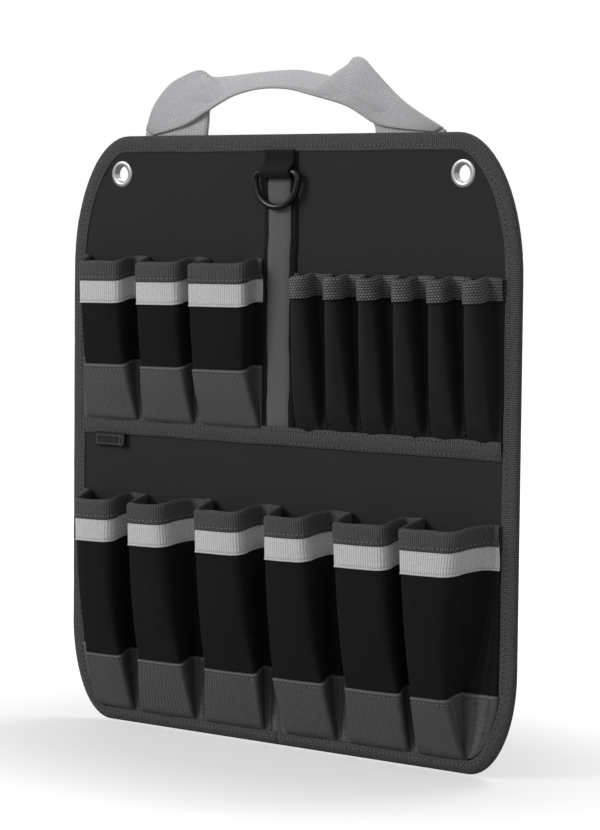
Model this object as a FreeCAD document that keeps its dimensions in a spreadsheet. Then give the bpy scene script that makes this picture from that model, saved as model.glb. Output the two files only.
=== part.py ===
import FreeCAD, Part
import math
import os
import Sketcher

# A hanging tool panel: a stiff board in cloth covers, bound with tape all round, with two rows of
# box-pleat pockets, a row of narrow tool sleeves, a D-ring, two hanging eyelets and a carry handle.
# Millimetres. x runs across the panel, -y out of its front and z up. The origin lies midway
# between the two eyelets, on the plane of the panel's back.

doc = FreeCAD.newDocument("tool_panel")
sheet = doc.addObject("Spreadsheet::Sheet", "Sizes")

SIZES = {
    # the panel and its layers, from the back to the front
    "panel_width": 340.0,
    "binding_face": 10.5,
    "tape_thick": 0.7,
    "cover_thick": 0.6,
    "board_thick": 2.2,
    # heights, stacked from the bottom edge to the top edge
    "lower_pocket_tall": 137.5,
    "tool_clearance": 36.7,
    "cross_tape_tall": 11.6,
    "upper_pocket_tall": 102.0,
    "header_tall": 75.7,
    # elliptical corners: how far each reaches along the width and up the side
    "top_corner_run": 45.0,
    "top_corner_rise": 85.0,
    "bottom_corner_run": 32.0,
    "bottom_corner_rise": 62.0,
    # hanging eyelets
    "eyelet_drop": 24.0,
    "eyelet_side": 40.5,
    "eyelet_bore": 10.0,
    "eyelet_wall": 0.5,
    "eyelet_flange": 17.5,
    "eyelet_flange_thick": 0.8,
    "eyelet_clearance": 0.1,
    # centre webbing, its reflective stripe and the ring loop
    "webbing_centre": -2.3,
    "webbing_width": 25.0,
    "webbing_thick": 1.6,
    "stripe_width": 17.0,
    "stripe_thick": 0.6,
    "loop_width": 22.5,
    "loop_thick": 1.3,
    "loop_drop": 12.6,
    "ring_wire": 4.0,
    "ring_width": 36.5,
    "ring_side": 0.25,
    "ring_bend": 4.5,
    "ring_clearance": 0.3,
    # label tag under the cross tape
    "tag_width": 19.0,
    "tag_tall": 7.5,
    "tag_thick": 1.6,
    "tag_side": 20.0,
    # carry handle
    "handle_span": 178.0,
    "handle_width": 50.0,
    "handle_thick": 1.6,
    "handle_rise": 42.0,
    "handle_neck": 24.0,
    "handle_lean": 27.0,
    "grip_depth": 25.0,
    "grip_tall": 7.0,
    "tail_tall": 32.0,
    "fold_clearance": 0.3,
    # pocket cloth, its trims and the flats that are sewn down beside each pleat
    "cloth_thick": 1.0,
    "trim_thick": 0.6,
    "pocket_flat": 10.0,
    "pocket_foot_flat": 6.0,
    "pocket_foot_depth": 4.0,
    "pocket_tape_tall": 11.6,
    "band_tall": 15.0,
    "lower_first_width": 48.5,
    "lower_last_width": 57.7,
    "lower_knee_depth": 16.0,
    "lower_depth": 27.0,
    "lower_patch_tall": 38.0,
    "upper_last_width": 45.6,
    "upper_knee_depth": 11.5,
    "upper_depth": 19.0,
    "upper_patch_tall": 36.5,
    # narrow sleeves
    "sleeve_tall": 93.7,
    "sleeve_flat": 3.2,
    "sleeve_depth": 12.0,
    "sleeve_foot_depth": 3.5,
    "cuff_tall": 13.0,
    "cuff_thick": 1.2,
}

# A stage of a pleat that is shorter than this is nothing.
STAGE_GAP = 0.001

LOWER_POCKETS = 6
UPPER_POCKETS = 3
SLEEVES = 6

for row, (alias, value) in enumerate(SIZES.items(), start=1):
    sheet.set(f"A{row}", alias)
    sheet.set(f"B{row}", str(value))
    sheet.setAlias(f"B{row}", alias)
doc.recompute()


def cell(alias):
    """A size in an expression."""
    return f"Sizes.{alias}"


def value(expression):
    """The number that an expression of sheet cells comes to."""
    return float(sheet.evalExpression(expression))


# Levels, as expressions. Heights are measured from the eyelets, depths from the back plane.
TOP = cell("eyelet_drop")
PANEL_TALL = " + ".join(cell(part) for part in (
    "binding_face", "lower_pocket_tall", "tool_clearance",
    "cross_tape_tall", "upper_pocket_tall", "header_tall"))
BOTTOM = f"({TOP} - ({PANEL_TALL}))"
LOWER_FOOT = f"({BOTTOM} + {cell('binding_face')})"
LOWER_MOUTH = f"({LOWER_FOOT} + {cell('lower_pocket_tall')})"
TAPE_FOOT = f"({LOWER_MOUTH} + {cell('tool_clearance')})"
UPPER_FOOT = f"({TAPE_FOOT} + {cell('cross_tape_tall')})"
UPPER_MOUTH = f"({UPPER_FOOT} + {cell('upper_pocket_tall')})"
SLEEVE_MOUTH = f"({UPPER_FOOT} + {cell('sleeve_tall')})"
HEADER_TOP = f"({TOP} - {cell('binding_face')})"

BACK_COVER = cell("tape_thick")
BOARD = f"({BACK_COVER} + {cell('cover_thick')})"
FRONT_COVER = f"({BOARD} + {cell('board_thick')})"
FACE = f"({FRONT_COVER} + {cell('cover_thick')})"
BINDING_FRONT = f"({FACE} + {cell('tape_thick')})"

FIELD_SIDE = f"({cell('panel_width')} / 2 - {cell('binding_face')})"
WEBBING_LEFT = f"({cell('webbing_centre')} - {cell('webbing_width')} / 2)"
WEBBING_RIGHT = f"({cell('webbing_centre')} + {cell('webbing_width')} / 2)"
WEBBING_FRONT = f"({FACE} + {cell('webbing_thick')})"
EYELET_X = f"({cell('panel_width')} / 2 - {cell('eyelet_side')})"

parts = []


def bind(shape, **expressions):
    """Tie properties of an object to the sheet."""
    for name, expression in expressions.items():
        shape.setExpression(name, expression)
    return shape


def put_at(shape, x="0", y="0", z="0"):
    """Tie an object's position to the sheet."""
    for axis, expression in zip("xyz", (x, y, z)):
        shape.setExpression(f".Placement.Base.{axis}", expression)
    return shape


def keep(shape, label):
    """Mark an object as a sub-part of the panel, under the name of its file."""
    shape.Label = label
    parts.append(shape)
    return shape


def join(kind, *shapes):
    """A boolean of several objects: a MultiFuse, or a Cut or Common of two."""
    result = doc.addObject(f"Part::{kind}", kind)
    if kind == "MultiFuse":
        result.Shapes = list(shapes)
    else:
        result.Base, result.Tool = shapes
    result.Refine = True
    return result


def block(left, right, back, front, low, high):
    """A box between two sides, two depths and two heights."""
    box = doc.addObject("Part::Box", "Block")
    bind(box, Length=f"{right} - ({left})", Width=f"{front} - ({back})",
         Height=f"{high} - ({low})")
    return put_at(box, left, f"-({front})", low)


def rod(x, y, z, radius, length, direction):
    """A cylinder from a point along a direction."""
    cylinder = doc.addObject("Part::Cylinder", "Rod")
    cylinder.Placement.Rotation = FreeCAD.Rotation(FreeCAD.Vector(0, 0, 1), direction)
    bind(cylinder, Radius=radius, Height=length)
    return put_at(cylinder, x, y, z)


def wedge(low, high, foot, mouth, back=FACE):
    """A block that stands on the panel: foot and mouth are its (left, right, depth) at each end."""
    solid = doc.addObject("Part::Wedge", "Wedge")
    solid.Placement.Rotation = FreeCAD.Rotation(FreeCAD.Vector(1, 0, 0), 90)
    bind(solid, Ymin=low, Ymax=high, Zmin="0", Z2min="0")
    bind(solid, Xmin=foot[0], Xmax=foot[1], Zmax=foot[2])
    bind(solid, X2min=mouth[0], X2max=mouth[1], Z2max=mouth[2])
    return put_at(solid, "0", f"-({back})", "0")


# The panel's outline


def tie_centre(sketch, kind, arc, distance, expression):
    """Hold an arc's centre at a distance from the sketch's origin."""
    number = sketch.addConstraint(Sketcher.Constraint(kind, -1, 1, arc, 3, distance))
    sketch.setExpression(f"Constraints[{number}]", expression)


def outline(body, inset, depth):
    """The panel's outline, moved in by an inset, as a sketch at a depth from the back plane."""
    sketch = body.newObject("Sketcher::SketchObject", "Outline")
    plane = next(item for item in body.Origin.OriginFeatures if item.Role == "XZ_Plane")
    sketch.AttachmentSupport = [(plane, "")]
    sketch.MapMode = "FlatFace"
    sketch.setExpression(".AttachmentOffset.Base.z", depth)
    side = value(cell("panel_width")) / 2
    step = value(inset)
    # Each corner's hand, end, and the part of a turn that its arc covers, from the major axis.
    corners = (
        (1, "top", -0.5, 0.0),
        (-1, "top", 0.0, 0.5),
        (-1, "bottom", 0.5, 1.0),
        (1, "bottom", 1.0, 1.5),
    )
    levels = {
        "top": f"{TOP} - {cell('top_corner_rise')}",
        "bottom": f"{BOTTOM} + {cell('bottom_corner_rise')}",
    }
    arcs = []
    for hand, end, start, stop in corners:
        run = value(cell(f"{end}_corner_run"))
        rise = value(cell(f"{end}_corner_rise"))
        centre = FreeCAD.Vector(hand * (side - run), value(levels[end]), 0)
        major = centre + FreeCAD.Vector(0, rise - step, 0)
        minor = centre + FreeCAD.Vector(step - run, 0, 0)
        ellipse = Part.Ellipse(major, minor, centre)
        arc = Part.ArcOfEllipse(ellipse, start * math.pi, stop * math.pi)
        arcs.append(sketch.addGeometry(arc))
        across = f"{hand} * ({cell('panel_width')} / 2 - {cell(end + '_corner_run')})"
        tie_centre(sketch, "DistanceX", arcs[-1], centre.x, across)
        tie_centre(sketch, "DistanceY", arcs[-1], centre.y, levels[end])
    for number, arc in enumerate(arcs):
        after = arcs[(number + 1) % len(arcs)]
        leave = sketch.getPoint(arc, 2)
        arrive = sketch.getPoint(after, 1)
        line = sketch.addGeometry(Part.LineSegment(leave, arrive))
        sketch.addConstraint(Sketcher.Constraint("Coincident", arc, 2, line, 1))
        sketch.addConstraint(Sketcher.Constraint("Coincident", line, 2, after, 1))
        direction = "Horizontal" if number % 2 == 0 else "Vertical"
        sketch.addConstraint(Sketcher.Constraint(direction, line))
    return sketch


def pad(body, sketch, length):
    """Material from a sketch towards the front."""
    feature = body.newObject("PartDesign::Pad", "Pad")
    feature.Profile = sketch
    feature.setExpression("Length", length)
    return feature


def pocket(body, sketch, length):
    """A cut from a sketch towards the front."""
    feature = body.newObject("PartDesign::Pocket", "Pocket")
    feature.Profile = sketch
    feature.Reversed = True
    feature.setExpression("Length", length)
    return feature


def sheet_of_panel(inset, back, thickness):
    """A sheet with the panel's outline."""
    body = doc.addObject("PartDesign::Body", "Sheet")
    pad(body, outline(body, inset, back), thickness)
    return body


def eyelet_rods(radius, back, front):
    """A rod through each eyelet's place, from one depth to another."""
    out = FreeCAD.Vector(0, -1, 0)
    length = f"{front} - ({back})"
    return [
        rod(f"{hand} * {EYELET_X}", f"-({back})", "0", radius, length, out)
        for hand in (-1, 1)
    ]


def pierced(panel_sheet, back, front):
    """A sheet of the panel with both eyelet holes."""
    radius = f"{cell('eyelet_bore')} / 2 + {cell('eyelet_wall')} + {cell('eyelet_clearance')}"
    holes = join("MultiFuse", *eyelet_rods(radius, back, front))
    return join("Cut", panel_sheet, holes)


inner_edge = cell("tape_thick")
back_cover = sheet_of_panel(inner_edge, BACK_COVER, cell("cover_thick"))
keep(pierced(back_cover, BACK_COVER, BOARD), "back_cover")
board = sheet_of_panel(inner_edge, BOARD, cell("board_thick"))
keep(pierced(board, BOARD, FRONT_COVER), "stiffener_board")
front_cover = sheet_of_panel(inner_edge, FRONT_COVER, cell("cover_thick"))
keep(pierced(front_cover, FRONT_COVER, FACE), "front_cover")

# The edge tape is folded round the covers: a ring with a slot inside it for their edge.
binding = doc.addObject("PartDesign::Body", "Binding")
pad(binding, outline(binding, "0", "0"), BINDING_FRONT)
pocket(binding, outline(binding, cell("binding_face"), "0"), BINDING_FRONT)
pocket(binding, outline(binding, inner_edge, BACK_COVER), f"{FACE} - {BACK_COVER}")
keep(binding, "edge_binding")

# What is sewn on the front stays inside the binding, so it is trimmed to this field.
field = sheet_of_panel(cell("binding_face"), FACE, f"2 * {cell('lower_depth')}")


# Tapes and trims of the panel's front

keep(block(f"-{FIELD_SIDE}", FIELD_SIDE, FACE, BINDING_FRONT, TAPE_FOOT, UPPER_FOOT), "cross_tape")
keep(block(WEBBING_LEFT, WEBBING_RIGHT, FACE, WEBBING_FRONT, UPPER_FOOT, HEADER_TOP),
     "centre_webbing")

RING_LEVEL = f"({HEADER_TOP} - {cell('loop_drop')})"
BARREL = f"({cell('ring_wire')} / 2 + {cell('ring_clearance')} + {cell('loop_thick')})"
RING_DEPTH = f"({WEBBING_FRONT} + {BARREL})"
stripe_half = f"{cell('stripe_width')} / 2"
stripe_top = f"{RING_LEVEL} - {BARREL}"
keep(block(f"{cell('webbing_centre')} - {stripe_half}", f"{cell('webbing_centre')} + {stripe_half}",
           WEBBING_FRONT, f"{WEBBING_FRONT} + {cell('stripe_thick')}", UPPER_FOOT, stripe_top),
     "centre_stripe")

tag_left = f"(-{FIELD_SIDE} + {cell('tag_side')} - {cell('tag_width')} / 2)"
keep(block(tag_left, f"{tag_left} + {cell('tag_width')}", FACE, f"{FACE} + {cell('tag_thick')}",
           f"{TAPE_FOOT} - {cell('tag_tall')}", TAPE_FOOT), "label_tag")


# Hanging eyelets: a flanged barrel from the front, and a washer behind

for hand, side in ((-1, "left"), (1, "right")):
    x = f"{hand} * {EYELET_X}"
    out = FreeCAD.Vector(0, -1, 0)
    bore = f"{cell('eyelet_bore')} / 2"
    barrel_radius = f"{bore} + {cell('eyelet_wall')}"
    flange = f"{cell('eyelet_flange')} / 2"
    flange_front = f"({FACE} + {cell('eyelet_flange_thick')})"
    barrel = rod(x, "0", "0", barrel_radius, flange_front, out)
    collar = rod(x, f"-{FACE}", "0", flange, cell("eyelet_flange_thick"), out)
    hole = rod(x, "0", "0", bore, flange_front, out)
    keep(join("Cut", join("MultiFuse", barrel, collar), hole), f"eyelet_{side}")
    disc = rod(x, "0", "0", flange, BACK_COVER, out)
    disc_hole = rod(x, "0", "0", f"{barrel_radius} + {cell('eyelet_clearance')}", BACK_COVER, out)
    keep(join("Cut", disc, disc_hole), f"eyelet_washer_{side}")


# The D-ring and the webbing loop that carries its straight bar

ring_x = cell("webbing_centre")
across = FreeCAD.Vector(1, 0, 0)
loop_left = f"({ring_x} - {cell('loop_width')} / 2)"
loop_right = f"({ring_x} + {cell('loop_width')} / 2)"
fold = rod(loop_left, f"-{RING_DEPTH}", RING_LEVEL, BARREL, cell("loop_width"), across)
legs = block(loop_left, loop_right, WEBBING_FRONT, RING_DEPTH, RING_LEVEL, HEADER_TOP)
bar_room = rod(loop_left, f"-{RING_DEPTH}", RING_LEVEL,
               f"{cell('ring_wire')} / 2 + {cell('ring_clearance')}", cell("loop_width"), across)
keep(join("Cut", join("MultiFuse", fold, legs), bar_room), "ring_loop")

wire = f"{cell('ring_wire')} / 2"
ring_half = f"({cell('ring_width')} / 2 - {wire})"
ring_drop = f"({cell('ring_bend')} + {cell('ring_side')})"


def ring_bend(x, z, radius, turn, sweep):
    """A bend of the ring's wire: a piece of a torus in the plane of the ring."""
    torus = doc.addObject("Part::Torus", "Bend")
    upright = FreeCAD.Rotation(FreeCAD.Vector(1, 0, 0), 90)
    torus.Placement.Rotation = FreeCAD.Rotation(FreeCAD.Vector(0, 1, 0), -turn) * upright
    torus.Angle3 = sweep
    bind(torus, Radius1=radius, Radius2=wire)
    return put_at(torus, x, f"-{RING_DEPTH}", z)


bend = cell("ring_bend")
ring_parts = [
    rod(f"{ring_x} - {ring_half} + {bend}", f"-{RING_DEPTH}", RING_LEVEL, wire,
        f"2 * ({ring_half} - {bend})", across),
    ring_bend(ring_x, f"{RING_LEVEL} - {ring_drop}", ring_half, 180, 180),
]
for hand, turn in ((-1, 90), (1, 0)):
    ring_parts.append(ring_bend(
        f"{ring_x} + {hand} * ({ring_half} - {bend})", f"{RING_LEVEL} - {bend}", bend, turn, 90))
    ring_parts.append(rod(
        f"{ring_x} + {hand} * {ring_half}", f"-{RING_DEPTH}", f"{RING_LEVEL} - {ring_drop}",
        wire, f"{ring_drop} - {bend}", FreeCAD.Vector(0, 0, 1)))
keep(join("MultiFuse", *ring_parts), "d_ring")


# The carry handle stands on the top edge and its tails are sewn down behind it. It is one
# strap, so it hinges where it leaves the top edge.

half_strap = f"({cell('handle_thick')} / 2)"
HINGE_LEVEL = f"({TOP} + {half_strap} + {cell('fold_clearance')})"
HANDLE_TOP = f"({TOP} + {cell('handle_rise')})"
strap_half_width = f"{cell('handle_width')} / 2"
grip_low = f"({HANDLE_TOP} - {cell('grip_tall')})"
neck = f"({cell('handle_span')} / 2 - {cell('handle_lean')})"

handle_parts = []
for hand, side in ((-1, "left"), (1, "right")):
    middle = f"{hand} * {cell('handle_span')} / 2"
    foot = (f"{middle} - {strap_half_width}", f"{middle} + {strap_half_width}",
            cell("handle_thick"))
    neck_middle = f"{hand} * {neck}"
    mouth = (f"{neck_middle} - {cell('handle_neck')} / 2",
             f"{neck_middle} + {cell('handle_neck')} / 2", cell("handle_thick"))
    handle_parts.append(wedge(HINGE_LEVEL, HANDLE_TOP, foot, mouth, f"-{cell('handle_thick')}"))
    handle_parts.append(rod(foot[0], half_strap, HINGE_LEVEL, half_strap,
                            cell("handle_width"), across))
    keep(block(foot[0], foot[1], f"-{cell('handle_thick')}", "0",
               f"{TOP} - {cell('tail_tall')}", TOP), f"handle_tail_{side}")
grip_half = f"{cell('grip_depth')} / 2"
handle_parts.append(block(f"-{neck}", neck, f"(-{half_strap} - {grip_half})",
                          f"(-{half_strap} + {grip_half})", grip_low, HANDLE_TOP))
keep(join("MultiFuse", *handle_parts), "carry_handle")


# Box-pleat pockets and sleeves


class Pleat:
    """One pocket's pleat: its seams, and how its flats and its depth change with height.

    The depth goes evenly between its stages, each a (height, depth), from the foot to the mouth.
    """

    def __init__(self, left, right, flats, stages):
        self.left = left
        self.right = right
        self.flats = flats
        self.stages = stages
        self.foot = stages[0][0]
        self.mouth = stages[-1][0]

    def section(self, level, stage, grow):
        """The pleat's (left, right, depth) at a height in a stage, grown by a thickness."""
        share = f"(({level} - {self.foot}) / ({self.mouth} - {self.foot}))"
        flat = f"({self.flats[0]} + ({self.flats[1]} - {self.flats[0]}) * {share})"
        (low, low_depth), (high, high_depth) = self.stages[stage:stage + 2]
        rise = f"(({level} - {low}) / ({high} - {low}))"
        depth = f"({low_depth} + ({high_depth} - {low_depth}) * {rise})"
        return (f"{self.left} + {flat} - {grow}", f"{self.right} - {flat} + {grow}",
                f"{depth} + {grow}")

    def bulge(self, low, high, grow):
        """The pleat between two heights, grown outwards by a thickness."""
        wedges = []
        last_stage = len(self.stages) - 2
        for stage in range(last_stage + 1):
            start, end = self.stages[stage][0], self.stages[stage + 1][0]
            if value(low) > value(start):
                start = low
            if value(high) < value(end) or stage == last_stage:
                end = high
            if value(end) - value(start) > STAGE_GAP:
                wedges.append(wedge(start, end, self.section(start, stage, grow),
                                    self.section(end, stage, grow)))
        return wedges[0] if len(wedges) == 1 else join("MultiFuse", *wedges)

    def cover(self, low, high, grow):
        """The pleat and the flats beside it, as thick as the cloth and the growth together."""
        flats = block(self.left, self.right, FACE, f"({FACE} + {cell('cloth_thick')} + {grow})",
                      low, high)
        return join("MultiFuse", flats, self.bulge(low, high, grow))

    def skin(self, low, high, thick):
        """A trim laid over the cloth between two heights."""
        return join("Cut", self.cover(low, high, thick), self.cover(low, high, "0"))


def sew(shape, label, trimmed):
    """Keep a piece of the front, trimmed to the field where it lies at the panel's side."""
    keep(join("Common", shape, field) if trimmed else shape, label)


def make_cloth(pleat, label, trimmed):
    """The pocket's cloth: a box pleat, open at the mouth, closed at the foot."""
    floor = f"({pleat.foot} + {cell('cloth_thick')})"
    inside = pleat.bulge(floor, pleat.mouth, f"-{cell('cloth_thick')}")
    cloth = join("Cut", pleat.cover(pleat.foot, pleat.mouth, "0"), inside)
    sew(cloth, label, trimmed)
    return cloth


def make_pocket(pleat, row, number, patch_tall, trimmed):
    """A pocket with its mouth tape, its light band and its reinforcement patch."""
    cloth = make_cloth(pleat, f"{row}_pocket_{number}", trimmed)
    thick = cell("trim_thick")
    tape_foot = f"({pleat.mouth} - {cell('pocket_tape_tall')})"
    lip = f"({pleat.mouth} + {thick})"
    rim = pleat.cover(tape_foot, lip, thick)
    inner_leg = f"-({cell('cloth_thick')} + {thick})"
    rim = join("Cut", join("Cut", rim, pleat.bulge(tape_foot, lip, inner_leg)), cloth)
    sew(rim, f"{row}_mouth_tape_{number}", trimmed)
    band_foot = f"({tape_foot} - {cell('band_tall')})"
    sew(pleat.skin(band_foot, tape_foot, thick), f"{row}_light_band_{number}", trimmed)
    patch_top = f"({pleat.foot} + {patch_tall})"
    sew(pleat.skin(pleat.foot, patch_top, thick), f"{row}_patch_{number}", trimmed)


pocket_flats = (cell("pocket_foot_flat"), cell("pocket_flat"))
first = cell("lower_first_width")
pitch = f"((2 * {FIELD_SIDE} - {first} - {cell('lower_last_width')}) / {LOWER_POCKETS - 2})"
seams = [f"-{FIELD_SIDE}"]
seams += [f"(-{FIELD_SIDE} + {first} + {step} * {pitch})" for step in range(LOWER_POCKETS - 1)]
seams.append(FIELD_SIDE)
for number in range(1, LOWER_POCKETS + 1):
    pleat = Pleat(seams[number - 1], seams[number], pocket_flats,
                  ((LOWER_FOOT, cell("pocket_foot_depth")),
                   (f"({LOWER_FOOT} + {cell('lower_patch_tall')})", cell("lower_knee_depth")),
                   (LOWER_MOUTH, cell("lower_depth"))))
    make_pocket(pleat, "lower", number, cell("lower_patch_tall"), number in (1, LOWER_POCKETS))

last = cell("upper_last_width")
pitch = f"(({WEBBING_LEFT} + {FIELD_SIDE} - {last}) / {UPPER_POCKETS - 1})"
seams = [f"(-{FIELD_SIDE} + {step} * {pitch})" for step in range(UPPER_POCKETS)] + [WEBBING_LEFT]
for number in range(1, UPPER_POCKETS + 1):
    pleat = Pleat(seams[number - 1], seams[number], pocket_flats,
                  ((UPPER_FOOT, cell("pocket_foot_depth")),
                   (f"({UPPER_FOOT} + {cell('upper_patch_tall')})", cell("upper_knee_depth")),
                   (UPPER_MOUTH, cell("upper_depth"))))
    make_pocket(pleat, "upper", number, cell("upper_patch_tall"), number == 1)

pitch = f"(({FIELD_SIDE} - {WEBBING_RIGHT}) / {SLEEVES})"
cuffs = []
for number in range(1, SLEEVES + 1):
    pleat = Pleat(f"({WEBBING_RIGHT} + {number - 1} * {pitch})",
                  f"({WEBBING_RIGHT} + {number} * {pitch})",
                  (cell("sleeve_flat"), cell("sleeve_flat")),
                  ((UPPER_FOOT, cell("sleeve_foot_depth")),
                   (SLEEVE_MOUTH, cell("sleeve_depth"))))
    make_cloth(pleat, f"sleeve_{number}", number == SLEEVES)
    cuff_foot = f"({SLEEVE_MOUTH} - {cell('cuff_tall')})"
    cuffs.append(pleat.skin(cuff_foot, SLEEVE_MOUTH, cell("cuff_thick")))
sew(join("MultiFuse", *cuffs), "sleeve_cuffs", True)


# Check everything, then write each sub-part to its own file

doc.recompute()
faulty = [item.Name for item in doc.Objects if {"Invalid", "Error"} & set(item.State)]
if faulty:
    raise RuntimeError(f"objects with errors: {faulty}")
for part in parts:
    if part.Shape.isNull() or not part.Shape.isValid() or not part.Shape.Solids:
        raise RuntimeError(f"{part.Label} is not a sound solid")
    if len(part.Shape.Solids) > 1:
        print(part.Label, "has", len(part.Shape.Solids), "solids")

os.makedirs("parts", exist_ok=True)
for part in parts:
    part.Shape.exportStep(os.path.join("parts", f"{part.Label}.step"))
print(len(parts), "sub-parts written")
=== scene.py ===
import math

import bmesh
import bpy
import numpy as np
from bpy.props import FloatProperty, FloatVectorProperty, PointerProperty
from bpy.types import Operator, Panel, PropertyGroup
from mathutils import Matrix, Vector


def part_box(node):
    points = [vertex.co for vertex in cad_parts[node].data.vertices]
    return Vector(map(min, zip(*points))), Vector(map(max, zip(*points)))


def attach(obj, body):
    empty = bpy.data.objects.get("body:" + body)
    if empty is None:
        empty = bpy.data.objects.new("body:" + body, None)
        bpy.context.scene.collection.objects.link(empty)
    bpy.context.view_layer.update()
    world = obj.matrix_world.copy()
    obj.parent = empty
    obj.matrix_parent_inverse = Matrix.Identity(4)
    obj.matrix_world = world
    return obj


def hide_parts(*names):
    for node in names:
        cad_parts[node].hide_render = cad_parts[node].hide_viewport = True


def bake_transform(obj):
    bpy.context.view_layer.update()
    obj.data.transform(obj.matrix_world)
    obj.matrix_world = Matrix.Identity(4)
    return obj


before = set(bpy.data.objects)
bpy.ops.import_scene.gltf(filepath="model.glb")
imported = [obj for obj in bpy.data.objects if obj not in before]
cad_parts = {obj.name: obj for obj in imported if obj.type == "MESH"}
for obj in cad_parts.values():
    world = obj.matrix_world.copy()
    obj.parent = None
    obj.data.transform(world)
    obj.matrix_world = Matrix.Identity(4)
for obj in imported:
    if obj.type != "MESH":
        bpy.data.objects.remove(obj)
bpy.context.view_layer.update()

bl_info = {
    "name": "Hanging tool panel",
    "version": (1, 0, 0),
    "blender": (4, 5, 0),
    "location": "3D View > Sidebar > Tool Panel",
    "description": "A cloth tool panel with pleated pockets, sleeves, a ring and a carry handle",
    "category": "Object",
}

MM = 0.001


# Sizes and colours


def length(name, default, description):
    """A length in metres that a user may change, given in millimetres."""
    return FloatProperty(name=name, default=default * MM, description=description,
                         unit="LENGTH", precision=5)


def grey(name, level, description):
    """A near-neutral colour, given as one linear level."""
    return FloatVectorProperty(name=name, default=(level, level, level * 1.03), size=3,
                               min=0.0, max=1.0, subtype="COLOR", description=description)


class ClothSizes(PropertyGroup):
    """The cloths' thicknesses, and the panel's corners"""
    cloth: length("Cloth", 0.9, "Thickness of the pocket cloth")
    tape: length("Tape", 0.6, "Thickness of the edge and mouth tapes")
    webbing: length("Webbing", 1.6, "Thickness of the heavy webbing")
    binding_face: length("Binding face", 10.5, "Width of the edge tape on each side")
    top_run: length("Top corner run", 45, "Reach of a top corner along the width")
    top_rise: length("Top corner rise", 85, "Reach of a top corner down the side")
    bottom_run: length("Bottom corner run", 32, "Reach of a bottom corner along the width")
    bottom_rise: length("Bottom corner rise", 62, "Reach of a bottom corner up the side")
    droop: length("Droop", 3.2, "How far a pocket's front hangs below its seams")


class StitchSizes(PropertyGroup):
    """The sewing thread and its stitches"""
    thread: length("Thread", 0.24, "Radius of the sewing thread")
    stitch: length("Stitch", 2.1, "Length of a stitch on the tapes")
    gap: length("Gap", 1.0, "Space between stitches")
    edge: length("Edge", 3.2, "Distance of a seam from the edge of its tape")


class HandleSizes(PropertyGroup):
    """The carry handle's webbing"""
    strap: length("Strap", 50, "Width of the handle's webbing")
    puff: length("Puff", 2.4, "How far the folded layers stand apart")


class Colours(PropertyGroup):
    """The colour of each cloth, thread and metal"""
    cover: grey("Cover", 0.029, "The panel's cover cloth")
    binding: grey("Binding", 0.070, "The tapes round the edge and the mouths")
    patch: grey("Patch", 0.090, "The reinforcement at the pockets' feet")
    pocket: grey("Pocket", 0.0085, "The pockets' coarse cloth")
    band: grey("Band", 0.61, "The pale band under each mouth")
    stripe: grey("Stripe", 0.105, "The stripe on the centre webbing")
    webbing: grey("Webbing", 0.0065, "The centre webbing and the ring's loop")
    cuff: grey("Cuff", 0.070, "The coarse webbing at the sleeves' mouths")
    handle: grey("Handle", 0.53, "The carry handle's webbing")
    pale_thread: grey("Pale thread", 0.19, "Thread on the pockets' tapes")
    grey_thread: grey("Grey thread", 0.135, "Thread on the edge tape")
    steel: grey("Steel", 0.36, "The eyelets' bright plating")
    lacquer: grey("Lacquer", 0.006, "The ring's black lacquer")


class StudioSettings(PropertyGroup):
    """The camera's place and the lamps' powers"""
    azimuth: FloatProperty(name="Azimuth", default=math.radians(36.945), subtype="ANGLE",
                           description="Direction the camera looks from, round the panel")
    elevation: FloatProperty(name="Elevation", default=math.radians(4.167), subtype="ANGLE",
                             description="How far above the level the camera stands")
    roll: FloatProperty(name="Roll", default=math.radians(0.56), subtype="ANGLE",
                        description="Tilt of the camera about its own axis")
    distance: FloatProperty(name="Distance", default=1.6417, unit="LENGTH",
                            description="From the camera to what it looks at")
    lens: FloatProperty(name="Lens", default=117.48, description="Focal length in millimetres")
    key: FloatProperty(name="Key", default=112.0, description="Power of the large front lamp")
    rim: FloatProperty(name="Rim", default=30.0, description="Power of the lamp above and behind")
    fill: FloatProperty(name="Fill", default=0.42, description="Brightness of the surround")


GROUPS = {
    "panel_cloth": ClothSizes,
    "panel_stitches": StitchSizes,
    "panel_handle": HandleSizes,
    "panel_colours": Colours,
    "panel_studio": StudioSettings,
}


def cloth():
    """The cloths' sizes, as the user has set them."""
    return bpy.context.scene.panel_cloth


def stitches():
    """The stitches' sizes, as the user has set them."""
    return bpy.context.scene.panel_stitches


def colours():
    """The colours, as the user has set them."""
    return bpy.context.scene.panel_colours


# Shader maths


class Value:
    """A shader socket that does its maths as Python expressions."""

    def __init__(self, shader, socket):
        self.shader = shader
        self.socket = socket

    def __add__(self, other):
        return self.shader.maths("ADD", self, other)

    __radd__ = __add__

    def __sub__(self, other):
        return self.shader.maths("SUBTRACT", self, other)

    def __rsub__(self, other):
        return self.shader.maths("SUBTRACT", other, self)

    def __mul__(self, other):
        return self.shader.maths("MULTIPLY", self, other)

    __rmul__ = __mul__

    def __truediv__(self, other):
        return self.shader.maths("DIVIDE", self, other)

    def __mod__(self, other):
        return self.shader.maths("FLOORED_MODULO", self, other)

    def __pow__(self, other):
        return self.shader.maths("POWER", self, other)

    def wave(self):
        """A half-sine hump over each whole step, from 0 through 1 to 0."""
        return self.shader.maths("ABSOLUTE", self.shader.maths("SINE", self * math.pi))

    def whole(self):
        """The number of whole steps."""
        return self.shader.maths("FLOOR", self)


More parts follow.
